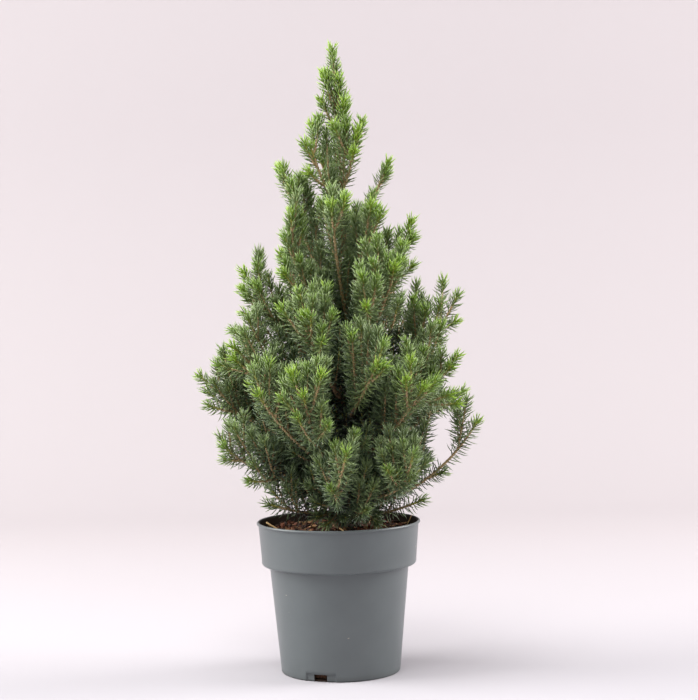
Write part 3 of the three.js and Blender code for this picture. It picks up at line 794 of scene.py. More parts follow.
def needle_spirals(shoots):
    """Every needle of every shoot, as rows: foot, first direction, last direction, length, width and shade.
    Needles follow a spiral of golden turns up the stem. On the older part they stand well off it. On the
    new end they are closer set, shorter and lean forward, and close into a brush at the tip."""
    columns = {k: [] for k in ("foot", "start", "end", "length", "width", "light")}
    for n, shoot in enumerate(shoots):
        line, order = shoot["line"], shoot["order"]
        span, inside = line.span, order == 3
        high = float(growth(line.at(1.0)[2]))
        pitch = INSIDE["pitch"] if inside else mix(OLD["pitch"], OLD["top_pitch"], high)
        middle = line.at(0.5)
        if middle[1] > BACK["y"] and middle[2] > BACK["z"]:
            pitch = pitch * BACK["sparser"]
        fresh = mix(NEW["span"], NEW["top_span"], high**2) * (0.75 + 0.5 * chance(n, 6, 17))
        fresh = 0.0 if inside or shoot["owner"] == TRUNK_ITSELF else min(NEW["most"] * span, fresh)
        old_count = int((span - fresh - NEEDLE["bare"]) / pitch)
        if old_count < 2:
            continue
        k, s = needle_places(line, fresh, old_count, int(fresh / NEW["pitch"]))
        path = line.even(0, 1, LINE_STEP)
        ways, side, across = frames_along(path)
        share = s / span * (len(path) - 1)
        low = np.minimum(share.astype(int), len(path) - 2)
        t = (share - low)[:, None]
        way, flat, over = (unit(mix(a[low], a[low + 1], t)) for a in (ways, side, across))
        roll = (GOLDEN * k + TAU * chance(n, 1, 13))[:, None]
        out = flat * np.cos(roll) + over * np.sin(roll)
        left = span - s
        young = np.clip(1 - left / max(fresh, 1e-6), 0, 1) if fresh else np.zeros(len(s))
        is_new = young > 0
        old_lean = mix(OLD["lean"], OLD["top_lean"], high)
        lean = np.where(is_new, mix(NEW["lean"], NEW["tip_lean"], young ** NEW["closing"]), old_lean)
        lean = lean - OLD["dip"] * np.exp(-(((left - fresh) / OLD["dip_over"]) ** 2)) * ~is_new
        lean = (lean + NEEDLE["lean_spread"] * (chance(n, k, 14) - 0.5))[:, None]
        first, last = np.radians(lean + OLD["curl"]), np.radians(lean - OLD["curl"])
        new_length = mix(NEW["length"], NEW["tip_share"] * NEW["length"], young)
        length = np.where(is_new, new_length, mix(OLD["length"], OLD["top_length"], high**2))
        wide = np.where(is_new, NEW["width"], OLD["width"])
        if inside:
            length, wide = np.full(len(s), INSIDE["length"]), np.full(len(s), INSIDE["width"])
        grown = 0.75 + 0.25 * np.minimum(1, s / NEEDLE["grown"])
        rows = {
            "foot": mix(path[low], path[low + 1], t) + out * NEEDLE["off_axis"],
            "start": unit(out * np.sin(first) + way * np.cos(first)),
            "end": unit(out * np.sin(last) + way * np.cos(last)),
            "length": length * (0.8 + 0.32 * chance(n, k, 15)) * grown,
            "width": wide * (0.9 + 0.2 * chance(n, k, 16)) * (1 + NEEDLE["wider_on_top"] * high**3),
            "light": lightness(line, order, left, young, n, k),
        }
        for key, value in rows.items():
            columns[key].append(value)
    rows = {key: np.concatenate(value) for key, value in columns.items()}
    tip = rows["foot"] + (rows["start"] + rows["end"]) * rows["length"][:, None] / 2
    ragged = (0.6 + 0.4 * chance(rows["light"], 5, 19))[:, None]
    away = np.hypot(tip[:, :1] - GLIMPSES[:, 0], tip[:, 2:] - GLIMPSES[:, 1]) - GLIMPSES[:, 2] * ragged
    return {key: value[away.min(1) > 0] for key, value in rows.items()}


def lightness(line, order, left, young, n, k):
    """From 0, dark, to 1, bright: partly the real step from old needles to new growth, partly painted shade.
    A base that lightens outwards and towards the top of the tree, so that needles deep in the crown carry
    painted shade, a little more behind the new end, and on the new end a rise to that shoot's own brightness,
    which is held down deep in the crown too. A small random step for each needle is partly painted glint."""
    tip = line.at(1.0)
    depth, high = float(-outside_crown(tip)), float(growth(tip[2]))
    fade = LIGHT["fade"] + LIGHT["fade_on_top"] * high
    # Painted shade: needles darken the deeper their shoot's tip lies in the crown, most on the twigs inside
    # it.
    outer = float(np.clip(1 - (depth - LIGHT["depth"]) / fade, 0, 1)) * LIGHT["orders"][order]
    up = float(np.clip((tip[2] - LIGHT["dim_foot"]) / LIGHT["dim_over"], 0, 1))
    base = LIGHT["least"] + LIGHT["outer"] * outer * mix(LIGHT["dim"], 1, up)
    base = base + LIGHT["top"] * high * (1 - LIGHT["top_fall"] * high**3)
    base = base + LIGHT["spread"] * (chance(n, 2, 17) - 0.5) * outer
    keen = outer * KEEN["orders"][order] + KEEN["top"] * high * outer
    keen = keen + KEEN["spread"] * (chance(n, 4, 17) - 0.5)
    keen = np.clip(keen, KEEN["least"], KEEN["most"]) * mix(KEEN["dim"], 1, up)
    after = (0.2 * np.exp(-left / 18) - 0.1 * (1 - np.exp(-left / 40))) * outer
    bright = np.minimum(1.0, KEEN["early"] * young) * keen
    # The last term, a random step for each needle, is partly painted glint.
    return base + after + (1 - base - after) * bright ** KEEN["curve"] + 0.2 * (chance(n, k, 18) - 0.5)


def needle_mesh(rows):
    """Each needle is a three-sided spindle: a ring at its foot, a ring past half way and a point."""
    foot, start, end = rows["foot"], rows["start"], rows["end"]
    length, width = rows["length"][:, None], rows["width"][:, None]
    middle = foot + start * length * NEEDLE_BEND
    tip = middle + end * length * (1 - NEEDLE_BEND)
    side = unit(np.cross(start, end + 0.01 * UP + 0.003))
    over = np.cross(start, side)
    count = len(foot)
    points = np.empty((count, 7, 3))
    for i in range(3):
        a = TAU * i / 3
        ring = side * math.cos(a) + over * math.sin(a)
        points[:, i] = foot + ring * width * NEEDLE["foot"]
        points[:, 3 + i] = middle + ring * width * 0.5
    points[:, 6] = tip
    quads = np.array([[i, (i + 1) % 3, 3 + (i + 1) % 3, 3 + i] for i in range(3)])
    triangles = np.array([[2, 1, 0]] + [[3 + i, 3 + (i + 1) % 3, 6] for i in range(3)])
    base = (np.arange(count) * 7)[:, None, None]
    return points.reshape(-1, 3), (quads + base).reshape(-1, 4), (triangles + base).reshape(-1, 3)


# ---------------------------------------------------------------- bark and stems
def trunk_relief(rows, angle):
    """Long fissures: waves round the trunk that drift as they rise, cut by short cross waves."""
    i = np.arange(rows)[:, None]
    deep = np.sin(7 * angle + 1.3 * np.sin(0.11 * i) + 0.05 * i) * 0.5 + np.sin(13 * angle - 0.17 * i) * 0.3
    flake = np.sin(0.9 * i + 3 * np.sin(4 * angle)) * np.sin(5 * angle + 0.37 * i)
    return 1 + 0.07 * deep + 0.05 * flake


def twig_relief(rows, angle):
    """Needle pegs: small raised cushions in a spiral up the stem."""
    i = np.arange(rows)[:, None]
    return 1 + 0.16 * np.sin(2.4 * i + 2 * angle) + 0.08 * np.sin(5.1 * i - angle)


# Stems, radii at foot and tip and the length that is green, by order: a limb's stem, side shoots, twigs, and
# the twigs inside the crown.
STEM = {
    "foot": (1.7, 1.35, 1.05, 0.8),
    "foot_on_wood": 1.5,
    "tip": (0.95, 0.85, 0.75, 0.45),
    "green": (12.0, 12.0, 8.0, 8.0),
    "most_green": 0.45,
    "end": 0.985,
}
# Rings and sides of the barked trunk and boughs, and the collar by which a bough leaves the trunk.
BARK = {
    "low": 0.2,
    "foot": 18.0,
    "foot_rings": 16,
    "from": 151.0,
    "step": 1.9,
    "sides": 22,
    "bough_step": 2.0,
    "bough_sides": 12,
    "collar": 1.3,
    "collar_over": 5.0,
}


def stems(shoots):
    """A tapering stem for each shoot: brown for most of its length, green for the new end."""
    brown, green = [], []
    for shoot in shoots:
        line, order = shoot["line"], shoot["order"]
        foot = STEM["foot_on_wood"] if shoot["wood"] else STEM["foot"][order]
        new = min(STEM["most_green"], STEM["green"][order] / line.span)
        for part, ends in ((brown, (0.0, 1 - new)), (green, (1 - new, STEM["end"]))):
            path = line.even(*ends, LINE_STEP if order < 2 else 2 * LINE_STEP)
            radii = mix(foot, STEM["tip"][order], np.linspace(*ends, len(path)))
            part.append(tube(path, radii, 6 if order < 2 else 4, twig_relief))
    return joined(brown), joined(green)


def bark_limbs(limbs):
    """The trunk, level at its foot on the soil, and the bare boughs, with roots sunk in the trunk."""
    foot_z = np.linspace(SOIL["seat"] + BARK["low"], SOIL["seat"] + BARK["foot"], BARK["foot_rings"])
    z = np.concatenate([foot_z, np.arange(BARK["from"], TRUNK["top"] + 1, BARK["step"])])
    z = np.append(z[z < TRUNK["top"]], TRUNK["top"] + GAP)
    trunk = tube(trunk_axis(z), trunk_radius(z), BARK["sides"], trunk_relief)
    boughs = []
    for limb in limbs:
        if limb["wood"]:
            span, path = limb["line"].span, limb["line"].even(0, limb["wood"], BARK["bough_step"])
            foot = BOUGH["foot"] + BOUGH["foot_by_span"] * span
            along = np.linspace(0, limb["wood"] * span, len(path))
            collar = BARK["collar"] * np.exp(-along / BARK["collar_over"])
            radii = mix(foot, BOUGH["tip"], np.linspace(0, 1, len(path))) + collar
            boughs.append(tube(path, radii, BARK["bough_sides"], trunk_relief))
    return trunk, joined(boughs)


# ---------------------------------------------------------------- pot
def arc(centre, radius, start, end, count):
    """Points [radius from the axis, height] on an arc, its angles in degrees."""
    a = np.radians(np.linspace(start, end, count))
    return np.stack([centre[0] + radius * np.cos(a), centre[1] + radius * np.sin(a)], -1)


def straight(start, end, count):
    """Points [radius from the axis, height] on a straight."""
    return mix(np.array(start), np.array(end), np.linspace(0, 1, count)[:, None])


def pot_profile():
    """The pot's section: out over the flat underside, up the tapered body, round the shoulder into the
    collar, over the rolled lip, and down inside to the floor. Also the number of points on the outside."""
    collar_low = POT["height"] - POT["collar_depth"]
    shoulder_low = collar_low - POT["shoulder"]
    lip = POT["lip_height"]
    corner = POT["corner"]
    base = POT["base_round"]
    step_high = shoulder_low + POT["step_rise"]
    underside = [
        [POT["body_top"], shoulder_low + 0.3],
        [POT["body_top"] + 0.5, shoulder_low + 0.6],
        [POT["collar_foot"] - corner, step_high],
    ]
    turn = arc((POT["collar_foot"] - corner, step_high + corner), corner, -80, 0, 8)
    body = straight([POT["body_foot"], base], [POT["body_top"], shoulder_low], 24)
    heights = (DRAIN["height"], DRAIN["height"] + DRAIN_EDGE)
    drain_top = np.array([[float(np.interp(h, body[:, 1], body[:, 0])), h] for h in heights])
    body = np.array(sorted(np.vstack([body, drain_top]).tolist(), key=lambda p: p[1]))
    collar_high = [POT["collar_top"], POT["height"] - lip - 0.4]
    collar = straight([POT["collar_foot"], collar_low + 0.4], collar_high, 12)
    roll = arc((POT["lip_radius"] - lip / 2, POT["height"] - lip / 2), lip / 2, -80, 150, 14)
    outside = np.vstack(
        [
            [[0, 0], [20, 0], [40, 0], [POT["body_foot"] - base, 0]],
            arc((POT["body_foot"] - base, base), base, -70, -15, 4),
            body,
            underside,
            turn,
            collar,
            [[POT["collar_top"] + 0.1, POT["height"] - lip + 0.02]],
            roll,
        ]
    )
    inner_top = POT["collar_top"] - POT["wall"]
    inside = np.array(
        [
            [inner_top + 0.25, POT["height"] - 1.4],
            [inner_top, POT["height"] - 2.6],
            [inner_top - 0.5, 126.0],
            [POT["collar_foot"] - POT["wall"], collar_low + POT["wall"]],
            [POT["body_top"] - POT["wall"], shoulder_low],
            [POT["body_foot"] - POT["wall"] + 0.6, DRAIN["height"] + DRAIN_EDGE],
            [POT["body_foot"] - POT["wall"], POT["floor"]],
            [0, POT["floor"]],
        ]
    )
    return np.vstack([outside, inside]), len(outside)


# Half the angle that a drain's recess and its hole take up at the foot of the pot, and each drain's middle.
RECESS_HALF = DRAIN["width"] / 2 / POT["body_foot"]
HOLE_HALF = DRAIN["hole"] / 2 / POT["body_foot"]
DRAIN_ANGLES = [math.radians(DRAIN["first_angle"] + 360 / DRAIN["count"] * i) for i in range(DRAIN["count"])]


def pot_angles():
    """Even angles round the pot, with extra ones at the edges of each drain's recess and hole."""
    angles = list(np.linspace(0, TAU, 160, endpoint=False))
    for middle in DRAIN_ANGLES:
        for edge in (RECESS_HALF + 0.006, RECESS_HALF, HOLE_HALF):
            angles += [middle - edge, middle + edge]
    return np.unique(np.round(np.mod(angles, TAU), 5))


def pot_shell():
    """The profile turned round the axis. Behind each drain the low wall steps in by the recess, and the
    faces across its hole are left out, outside and inside, with short walls that join the two skins. Also
    a mask for each point, partly the real stain of the mix and partly painted shade: rising over the lip,
    whole inside, where the crown shades the inner wall, and higher along the foot and at the drain holes."""
    profile, outer = pot_profile()
    angles = pot_angles()
    out, up, ring = profile[:, 0], profile[:, 1], np.arange(len(profile))
    radius = np.repeat(profile[:, :1], len(angles), 1)
    height = np.repeat(profile[:, 1:], len(angles), 1)
    face_hole = np.zeros((len(profile) - 1, len(angles)), bool)
    soiled_and_shaded = np.zeros(radius.shape)
    # Real stain of the mix and painted shade: the mask ramps up over the inner side of the lip and is whole
    # inside, where the crown shades the wall; it also rises along the very foot.
    soiled_and_shaded[outer - 4 : outer] = [[0.2], [0.35], [0.6], [0.8]]
    soiled_and_shaded[outer] = 0.95
    soiled_and_shaded[outer + 1 :] = 1.0
    soiled_and_shaded[:outer] += 0.5 * np.exp(-profile[:outer, 1:] / 1.3)
    low = (up > 0) & (up <= DRAIN["height"] + 0.01) & (ring < outer)
    inner_low = (ring >= outer) & (up <= DRAIN["height"] + 0.3) & (out > 1)
    bottom_edge = (up == 0) & (out > POT["body_foot"] - 5)
    for middle in DRAIN_ANGLES:
        off = np.abs(np.mod(angles - middle + math.pi, TAU) - math.pi)
        radius[np.ix_(low | bottom_edge | inner_low, off <= RECESS_HALF + 1e-4)] -= DRAIN["recess"]
        hole = off <= HOLE_HALF + 1e-4
        # The mask is whole round each drain hole, so it is darker there.
        soiled_and_shaded[np.ix_(low | inner_low, hole)] = 1.0
        for skin in (low, inner_low):
            face_hole[np.ix_(np.flatnonzero(skin)[:-1], hole & np.roll(hole, -1))] = True
    points = np.stack([radius * np.cos(angles), radius * np.sin(angles), height], -1).reshape(-1, 3)
    quads = grid_faces(len(profile), len(angles))[~face_hole.ravel()]
    quads = np.vstack([quads, hole_walls(low, inner_low, face_hole, len(angles))])
    return points, quads, soiled_and_shaded.ravel()


def hole_walls(low, inner_low, face_hole, columns):
    """Quads that join the outer and the inner skin round each drain hole: two sides, a top and a sill."""
    out_rows, in_rows = np.flatnonzero(low), np.flatnonzero(inner_low)
    cells = np.flatnonzero(face_hole[out_rows[0]])
    top_out, bottom_out = out_rows[-1] * columns, out_rows[0] * columns
    top_in, bottom_in = in_rows[0] * columns, in_rows[-1] * columns
    quads = []
    for c in cells:
        d = (c + 1) % columns
        quads.append([top_out + c, top_out + d, top_in + d, top_in + c])
        quads.append([bottom_in + c, bottom_in + d, bottom_out + d, bottom_out + c])
        if (c - 1) % columns not in cells:
            quads.append([bottom_out + c, top_out + c, top_in + c, bottom_in + c])
        if d not in cells:
            quads.append([top_out + d, bottom_out + d, bottom_in + d, top_in + d])
    return np.array(quads)


# ---------------------------------------------------------------- potting mix
def soil_height(x, y):
    """Lumps of several sizes over a bed that rises a little to the trunk."""
    r = np.hypot(x, y)
    bed = SOIL["edge"] + (SOIL["seat"] - SOIL["edge"] - 0.6) * np.exp(-((r / 42) ** 2))
    lumps = np.sin(0.31 * x + 1.7) * np.sin(0.27 * y + 0.4)
    lumps = lumps + 0.7 * np.sin(0.63 * x - 0.41 * y) + 0.6 * np.sin(0.9 * y + 0.5 * x)
    fine = np.sin(2.1 * x + 0.7 * y) * np.sin(1.7 * y - 0.9 * x)
    settle = 1 - np.exp(-((r / 14) ** 2))
    return bed + SOIL["lump"] * settle * (0.45 * lumps + 0.22 * fine)


def body_radius(z):
    """The outside radius of the pot's body, without its step and collar, at a height."""
    top = POT["height"] - POT["collar_depth"] - POT["shoulder"]
    return mix(POT["body_foot"], POT["body_top"], z / top)


def soil_bed():
    """A disc of lumpy soil, carried down inside the pot's wall and closed under it."""
    columns = 120
    angle = np.linspace(0, TAU, columns, endpoint=False)
    wall = POT["wall"] + GAP
    radii = np.concatenate([[0.01], np.linspace(2, 70.2, 46)])
    x = radii[:, None] * np.cos(angle)
    y = radii[:, None] * np.sin(angle)
    top = np.stack([x, y, soil_height(x, y)], -1)
    rings = [
        (69.0, 119.0),
        (67.0, 104.5),
        (body_radius(96) - wall, 96.0),
        (body_radius(8) - wall - 1.2, 8.0),
        (50.5, 2.6),
        (0.01, 2.6),
    ]
    skirt = [np.stack([r * np.cos(angle), r * np.sin(angle), np.full(columns, z)], -1) for r, z in rings]
    points = np.vstack([top, np.array(skirt)])
    return points.reshape(-1, 3), grid_faces(len(points), columns)[:, ::-1]


# Loose bits lie within a radius, clear of the trunk.
LITTER = {"radius": 69.0, "clear": 9.0}
# Dry stalks on the bed: X, Y, direction in degrees and length.
STALKS = [
    (-50, -34, 200, 17), (-44, -28, 60, 12), (-2, -55, 330, 14), (12, -50, 20, 9), (40, -40, 140, 13),
    (30, 40, 80, 16), (-30, 44, 10, 14), (52, 10, 250, 11), (-58, 6, 100, 12), (22, -60, 75, 10),
    (-24, -58, 30, 9), (48, -30, 300, 12),
]  # fmt: skip
# Stalks that stand off the bed: foot, tip and radius.
LEANING = [
    ((-66, 0, 137), (-51, -14, 130.5), 0.9),
    ((1, -48, 137), (11, -58, 131), 0.7),
    ((60, -2, 129), (67, -3, 142), 0.6),
]


def chips(count, seed, longest, flat):
    """Bits of bark: six-sided boxes with every corner pushed about, tipped and sunk in the surface."""
    k = np.arange(count)
    radius = LITTER["radius"] * np.sqrt(chance(k, seed, 21))
    angle = TAU * chance(k, seed, 22)
    x, y = radius * np.cos(angle), radius * np.sin(angle)
    keep = np.hypot(x, y) > LITTER["clear"]
    k, x, y = k[keep], x[keep], y[keep]
    length = longest * (0.35 + 0.65 * chance(k, seed, 23) ** 2)
    wide, thick = 0.35 + 0.3 * chance(k, seed, 24), 0.6 + 0.8 * chance(k, seed, 25)
    size = np.stack([length, length * wide, length * flat * thick], -1) / 2
    corner = np.array([[a, b, c] for a in (-1, 1) for b in (-1, 1) for c in (-1, 1)], float)
    shake = np.stack([chance(k[:, None] + 0.1 * np.arange(8), seed, 26 + i) for i in range(3)], -1)
    local = corner[None] * size[:, None] * (0.55 + 0.6 * shake)
    turn, tip = TAU * chance(k, seed, 29), 1.1 * (chance(k, seed, 30) - 0.5)
    ahead = np.stack([np.cos(turn) * np.cos(tip), np.sin(turn) * np.cos(tip), np.sin(tip)], -1)
    roll = unit(np.cross(ahead, UP) + 0.5 * (chance(k, seed, 31) - 0.5)[:, None] * UP)
    third = np.cross(roll, ahead)
    spot = np.stack([x, y, soil_height(x, y) + size[:, 2] * 0.6], -1)
    points = spot[:, None] + local[..., :1] * ahead[:, None]
    points = points + local[..., 1:2] * roll[:, None] + local[..., 2:] * third[:, None]
    box = np.array([[0, 1, 3, 2], [4, 6, 7, 5], [0, 4, 5, 1], [2, 3, 7, 6], [0, 2, 6, 4], [1, 5, 7, 3]])
    return points.reshape(-1, 3), (box[None] + (np.arange(len(k)) * 8)[:, None, None]).reshape(-1, 4)


def straws():
    """Dry stalks: thin bent tubes that lie on the bed, and three that stand off it, at the left wall, in the
    middle and at the right wall."""
    parts = []
    for n, (x, y, turn, length) in enumerate(STALKS):
        t = np.linspace(0, 1, 9)
        a = math.radians(turn)
        px = x + (t - 0.5) * length * math.cos(a) - 1.2 * np.sin(math.pi * t) * math.sin(a)
        py = y + (t - 0.5) * length * math.sin(a) + 1.2 * np.sin(math.pi * t) * math.cos(a)
        path = np.stack([px, py, soil_height(px, py) + 2.0 + 0.9 * chance(n, 1, 33)], -1)
        parts.append(tube(path, np.full(9, 0.62) * (1 - 0.4 * t), 5))
    for foot, tip, thick in LEANING:
        foot, tip = np.array(foot, float), np.array(tip, float)
        path = bent(foot, (foot + tip) / 2 + (0.6, 0, -0.8), tip).even(0, 1, 1.5)
        parts.append(tube(path, np.linspace(thick, 0.6 * thick, len(path)), 5))
    return joined(parts)


# ---------------------------------------------------------------- materials
def colour(red, green, blue):
    """A linear colour from the usual 0 to 255 values."""
    c = np.array([red, green, blue]) / 255
    return (*np.where(c <= 0.04045, c / 12.92, ((c + 0.055) / 1.055) ** 2.4).tolist(), 1.0)


def new_material(name, base, roughness, specular=0.5):
    """A plain material, with its node tree and its shader node."""
    material = bpy.data.materials.new(name)
    material.use_nodes = True
    shader = material.node_tree.nodes["Principled BSDF"]
    shader.inputs["Base Color"].default_value = base
    shader.inputs["Roughness"].default_value = roughness
    shader.inputs["Specular IOR Level"].default_value = specular
    return material, material.node_tree, shader


def mottle_group():
    """A node group: two colours mixed by noise on the object's own coordinates, with a height to match."""
    group = bpy.data.node_groups.new("mottle", "ShaderNodeTree")
    face = group.interface
    face.new_socket("Light", in_out="INPUT", socket_type="NodeSocketColor")
    face.new_socket("Dark", in_out="INPUT", socket_type="NodeSocketColor")
    for name, value in (("Size", 900.0), ("Centre", 0.5), ("Contrast", 2.0), ("Stretch", 1.0)):
        face.new_socket(name, in_out="INPUT", socket_type="NodeSocketFloat").default_value = value
    face.new_socket("Color", in_out="OUTPUT", socket_type="NodeSocketColor")
    face.new_socket("Height", in_out="OUTPUT", socket_type="NodeSocketFloat")
    nodes, links = group.nodes, group.links
    given, put = nodes.new("NodeGroupInput"), nodes.new("NodeGroupOutput")
    place = nodes.new("ShaderNodeTexCoord")
    squeeze = nodes.new("ShaderNodeCombineXYZ")
    squeeze.inputs["X"].default_value = squeeze.inputs["Y"].default_value = 1.0
    links.new(given.outputs["Stretch"], squeeze.inputs["Z"])
    scaled = nodes.new("ShaderNodeVectorMath")
    scaled.operation = "MULTIPLY"
    links.new(place.outputs["Object"], scaled.inputs[0])
    links.new(squeeze.outputs[0], scaled.inputs[1])
    noise = nodes.new("ShaderNodeTexNoise")
    noise.inputs["Detail"].default_value = 4.0
    links.new(scaled.outputs[0], noise.inputs["Vector"])
    links.new(given.outputs["Size"], noise.inputs["Scale"])
    centred = nodes.new("ShaderNodeMath")
    centred.operation = "SUBTRACT"
    links.new(noise.outputs[0], centred.inputs[0])
    links.new(given.outputs["Centre"], centred.inputs[1])
    sharp = nodes.new("ShaderNodeMath")
    sharp.operation = "MULTIPLY_ADD"
    sharp.use_clamp = True
    sharp.inputs[2].default_value = 0.5
    links.new(centred.outputs[0], sharp.inputs[0])
    links.new(given.outputs["Contrast"], sharp.inputs[1])
    blend = nodes.new("ShaderNodeMix")
    blend.data_type = "RGBA"
    links.new(sharp.outputs[0], blend.inputs["Factor"])
    links.new(given.outputs["Dark"], blend.inputs["A"])
    links.new(given.outputs["Light"], blend.inputs["B"])
    links.new(blend.outputs["Result"], put.inputs["Color"])
    links.new(sharp.outputs[0], put.inputs["Height"])
    return group


MOTTLE = mottle_group()


def mottled(name, light, dark, roughness, size, contrast, bump, stretch=1.0, specular=0.4):
    """A material whose colour and bump both follow one mottle pattern."""
    material, tree, shader = new_material(name, light, roughness, specular)
    pattern = tree.nodes.new("ShaderNodeGroup")
    pattern.node_tree = MOTTLE
    pattern.inputs["Light"].default_value = light
    pattern.inputs["Dark"].default_value = dark
    pattern.inputs["Size"].default_value = size
    pattern.inputs["Contrast"].default_value = contrast
    pattern.inputs["Stretch"].default_value = stretch
    raised = tree.nodes.new("ShaderNodeBump")
    raised.inputs["Strength"].default_value = 1.0
    raised.inputs["Distance"].default_value = bump * MM
    tree.links.new(pattern.outputs["Color"], shader.inputs["Base Color"])
    tree.links.new(pattern.outputs["Height"], raised.inputs["Height"])
    tree.links.new(raised.outputs["Normal"], shader.inputs["Normal"])
    return material


NEEDLE_SHADES = {
    "bud": colour(148, 182, 58),
    "fresh": colour(126, 158, 66),
    "bright": colour(132, 154, 92),
    "leaf": colour(124, 145, 94),
    "deep": colour(94, 115, 78),
    # The darkest needles, deep in the crown and on the twigs inside it: painted shade, partly the real
    # darkness of old needles.
    "shade": colour(36, 46, 32),
}
SHADE_FROM = {"bud": 0.80, "fresh": 0.64, "bright": 0.47, "leaf": 0.30, "deep": 0.14, "shade": -9.0}
MOST_NEEDLES = 19000  # of ten triangles each, so that no piece is too large

# Patterns on the pot besides its cloudy tone, and how its sheen goes where the mask of stain and painted
# shade lies: clean, then dirty.
POT_MARKS = {
    "grain": {"Size": 2600.0, "Centre": 0.5, "Contrast": 1.4, "Stretch": 1.0},
    "scuff": {"Size": 90.0, "Centre": 0.755, "Contrast": 30.0, "Stretch": 2.6},
}
POT_SHEEN = {"Specular IOR Level": (0.75, 0.05), "Roughness": (0.38, 0.95)}


def pot_plastic():
    """Matte grey polypropylene: a faint cloudy tone, fine moulded grain, a few short pale scuffs, and a dark
    peat brown where the pot's mask says: inside, partly the real stain of the mix and partly painted shade
    where the crown shades the inner wall, and darker along the foot and in the drain holes."""
    grey, dull = colour(90, 97, 98), colour(82, 89, 90)
    shine, rough = POT_SHEEN["Specular IOR Level"][0], POT_SHEEN["Roughness"][0]
    material = mottled("pot_plastic", grey, dull, rough, 34.0, 1.6, 0.02, specular=shine)
    tree = material.node_tree
    shader = tree.nodes["Principled BSDF"]
    cloudy = shader.inputs["Base Color"].links[0].from_socket
    marks = {}
    for name, settings in POT_MARKS.items():
        marks[name] = tree.nodes.new("ShaderNodeGroup")
        marks[name].node_tree = MOTTLE
        for key, value in settings.items():
            marks[name].inputs[key].default_value = value
    stain_and_shade = tree.nodes.new("ShaderNodeAttribute")
    stain_and_shade.attribute_name = "soiled_and_shaded"
    last = cloudy
    # The peat brown is partly a real stain and partly painted shade on the inner wall.
    scuff, soil = colour(158, 150, 138), colour(50, 41, 35)
    for factor, tone in ((marks["scuff"].outputs["Height"], scuff), (stain_and_shade.outputs["Fac"], soil)):
        blend = tree.nodes.new("ShaderNodeMix")
        blend.data_type = "RGBA"
        tree.links.new(factor, blend.inputs["Factor"])
        tree.links.new(last, blend.inputs["A"])
        blend.inputs["B"].default_value = tone
        last = blend.outputs["Result"]
    tree.links.new(last, shader.inputs["Base Color"])
    for name, (clean, dirty) in POT_SHEEN.items():
        sheen = tree.nodes.new("ShaderNodeMix")
        sheen.inputs["A"].default_value, sheen.inputs["B"].default_value = clean, dirty
        tree.links.new(stain_and_shade.outputs["Fac"], sheen.inputs["Factor"])
        tree.links.new(sheen.outputs["Result"], shader.inputs[name])
    raised = shader.inputs["Normal"].links[0].from_node
    tree.links.new(marks["grain"].outputs["Height"], raised.inputs["Height"])
    return material


# ---------------------------------------------------------------- the plant
limbs = planned_limbs()
shoots, wood, room = grow_shoots(limbs)
twigs = grow_twigs(shoots, limbs, wood, room)
everything = shoots + twigs
for shoot in shoots:
    shoot["line"] = part_of(shoot["line"], 0, 1 - TIP_ROOM / shoot["line"].span)

bark = mottled("spruce_bark", colour(176, 144, 112), colour(112, 88, 66), 0.85, 520.0, 2.6, 0.5, stretch=0.45)
twig_bark = mottled("twig_bark", colour(196, 170, 128), colour(146, 120, 84), 0.75, 900.0, 2.2, 0.15)
new_wood = mottled("new_wood", colour(180, 176, 92), colour(156, 148, 76), 0.6, 900.0, 1.8, 0.1)

trunk, boughs = bark_limbs(limbs)
make_piece("trunk_bark", trunk[0], trunk[1:], bark, ["trunk"])
bough_nodes = [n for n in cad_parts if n.startswith("bough_")]
make_piece("bough_bark", boughs[0], boughs[1:], bark, bough_nodes)
brown, green = stems(everything)
make_piece("shoot_stems", brown[0], brown[1:], twig_bark)
make_piece("new_stems", green[0], green[1:], new_wood)

trunk_line = Line(trunk_axis(np.linspace(NEEDLED_TRUNK, TRUNK["top"] + 6, 401)))
trunk_shoot = dict(line=trunk_line, owner=TRUNK_ITSELF, order=0, wood=True)
rows = needle_spirals(everything + [trunk_shoot])
ceiling = 2.0
# Each band of lightness becomes its own plain material; the darker bands are partly painted shade.
for shade in SHADES:
    chosen = np.flatnonzero((rows["light"] >= SHADE_FROM[shade]) & (rows["light"] < ceiling))
    ceiling = SHADE_FROM[shade]
    material, _, _ = new_material(f"needles_{shade}", NEEDLE_SHADES[shade], 0.36, 0.8)
    for i, start in enumerate(range(0, len(chosen), MOST_NEEDLES)):
        take = chosen[start : start + MOST_NEEDLES]
        points, quads, triangles = needle_mesh({k: v[take] for k, v in rows.items()})
        stand_for = []
        if shade == "leaf" and i == 0:
            stand_for = [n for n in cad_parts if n.startswith(("needles_", "spray_", "leader"))]
        name = f"needles_{shade}_{i + 1}"
        make_piece(name, points, [quads, triangles], material, stand_for)

# ---------------------------------------------------------------- the pot and its mix
pot_points, pot_quads, pot_soiled_and_shaded = pot_shell()
pot = make_piece("nursery_pot", pot_points, [pot_quads], pot_plastic(), ["pot"])
# The mask of stain and painted shade, for the pot's material.
pot.data.attributes.new("soiled_and_shaded", "FLOAT", "POINT").data.foreach_set("value", pot_soiled_and_shaded.astype(np.float32))

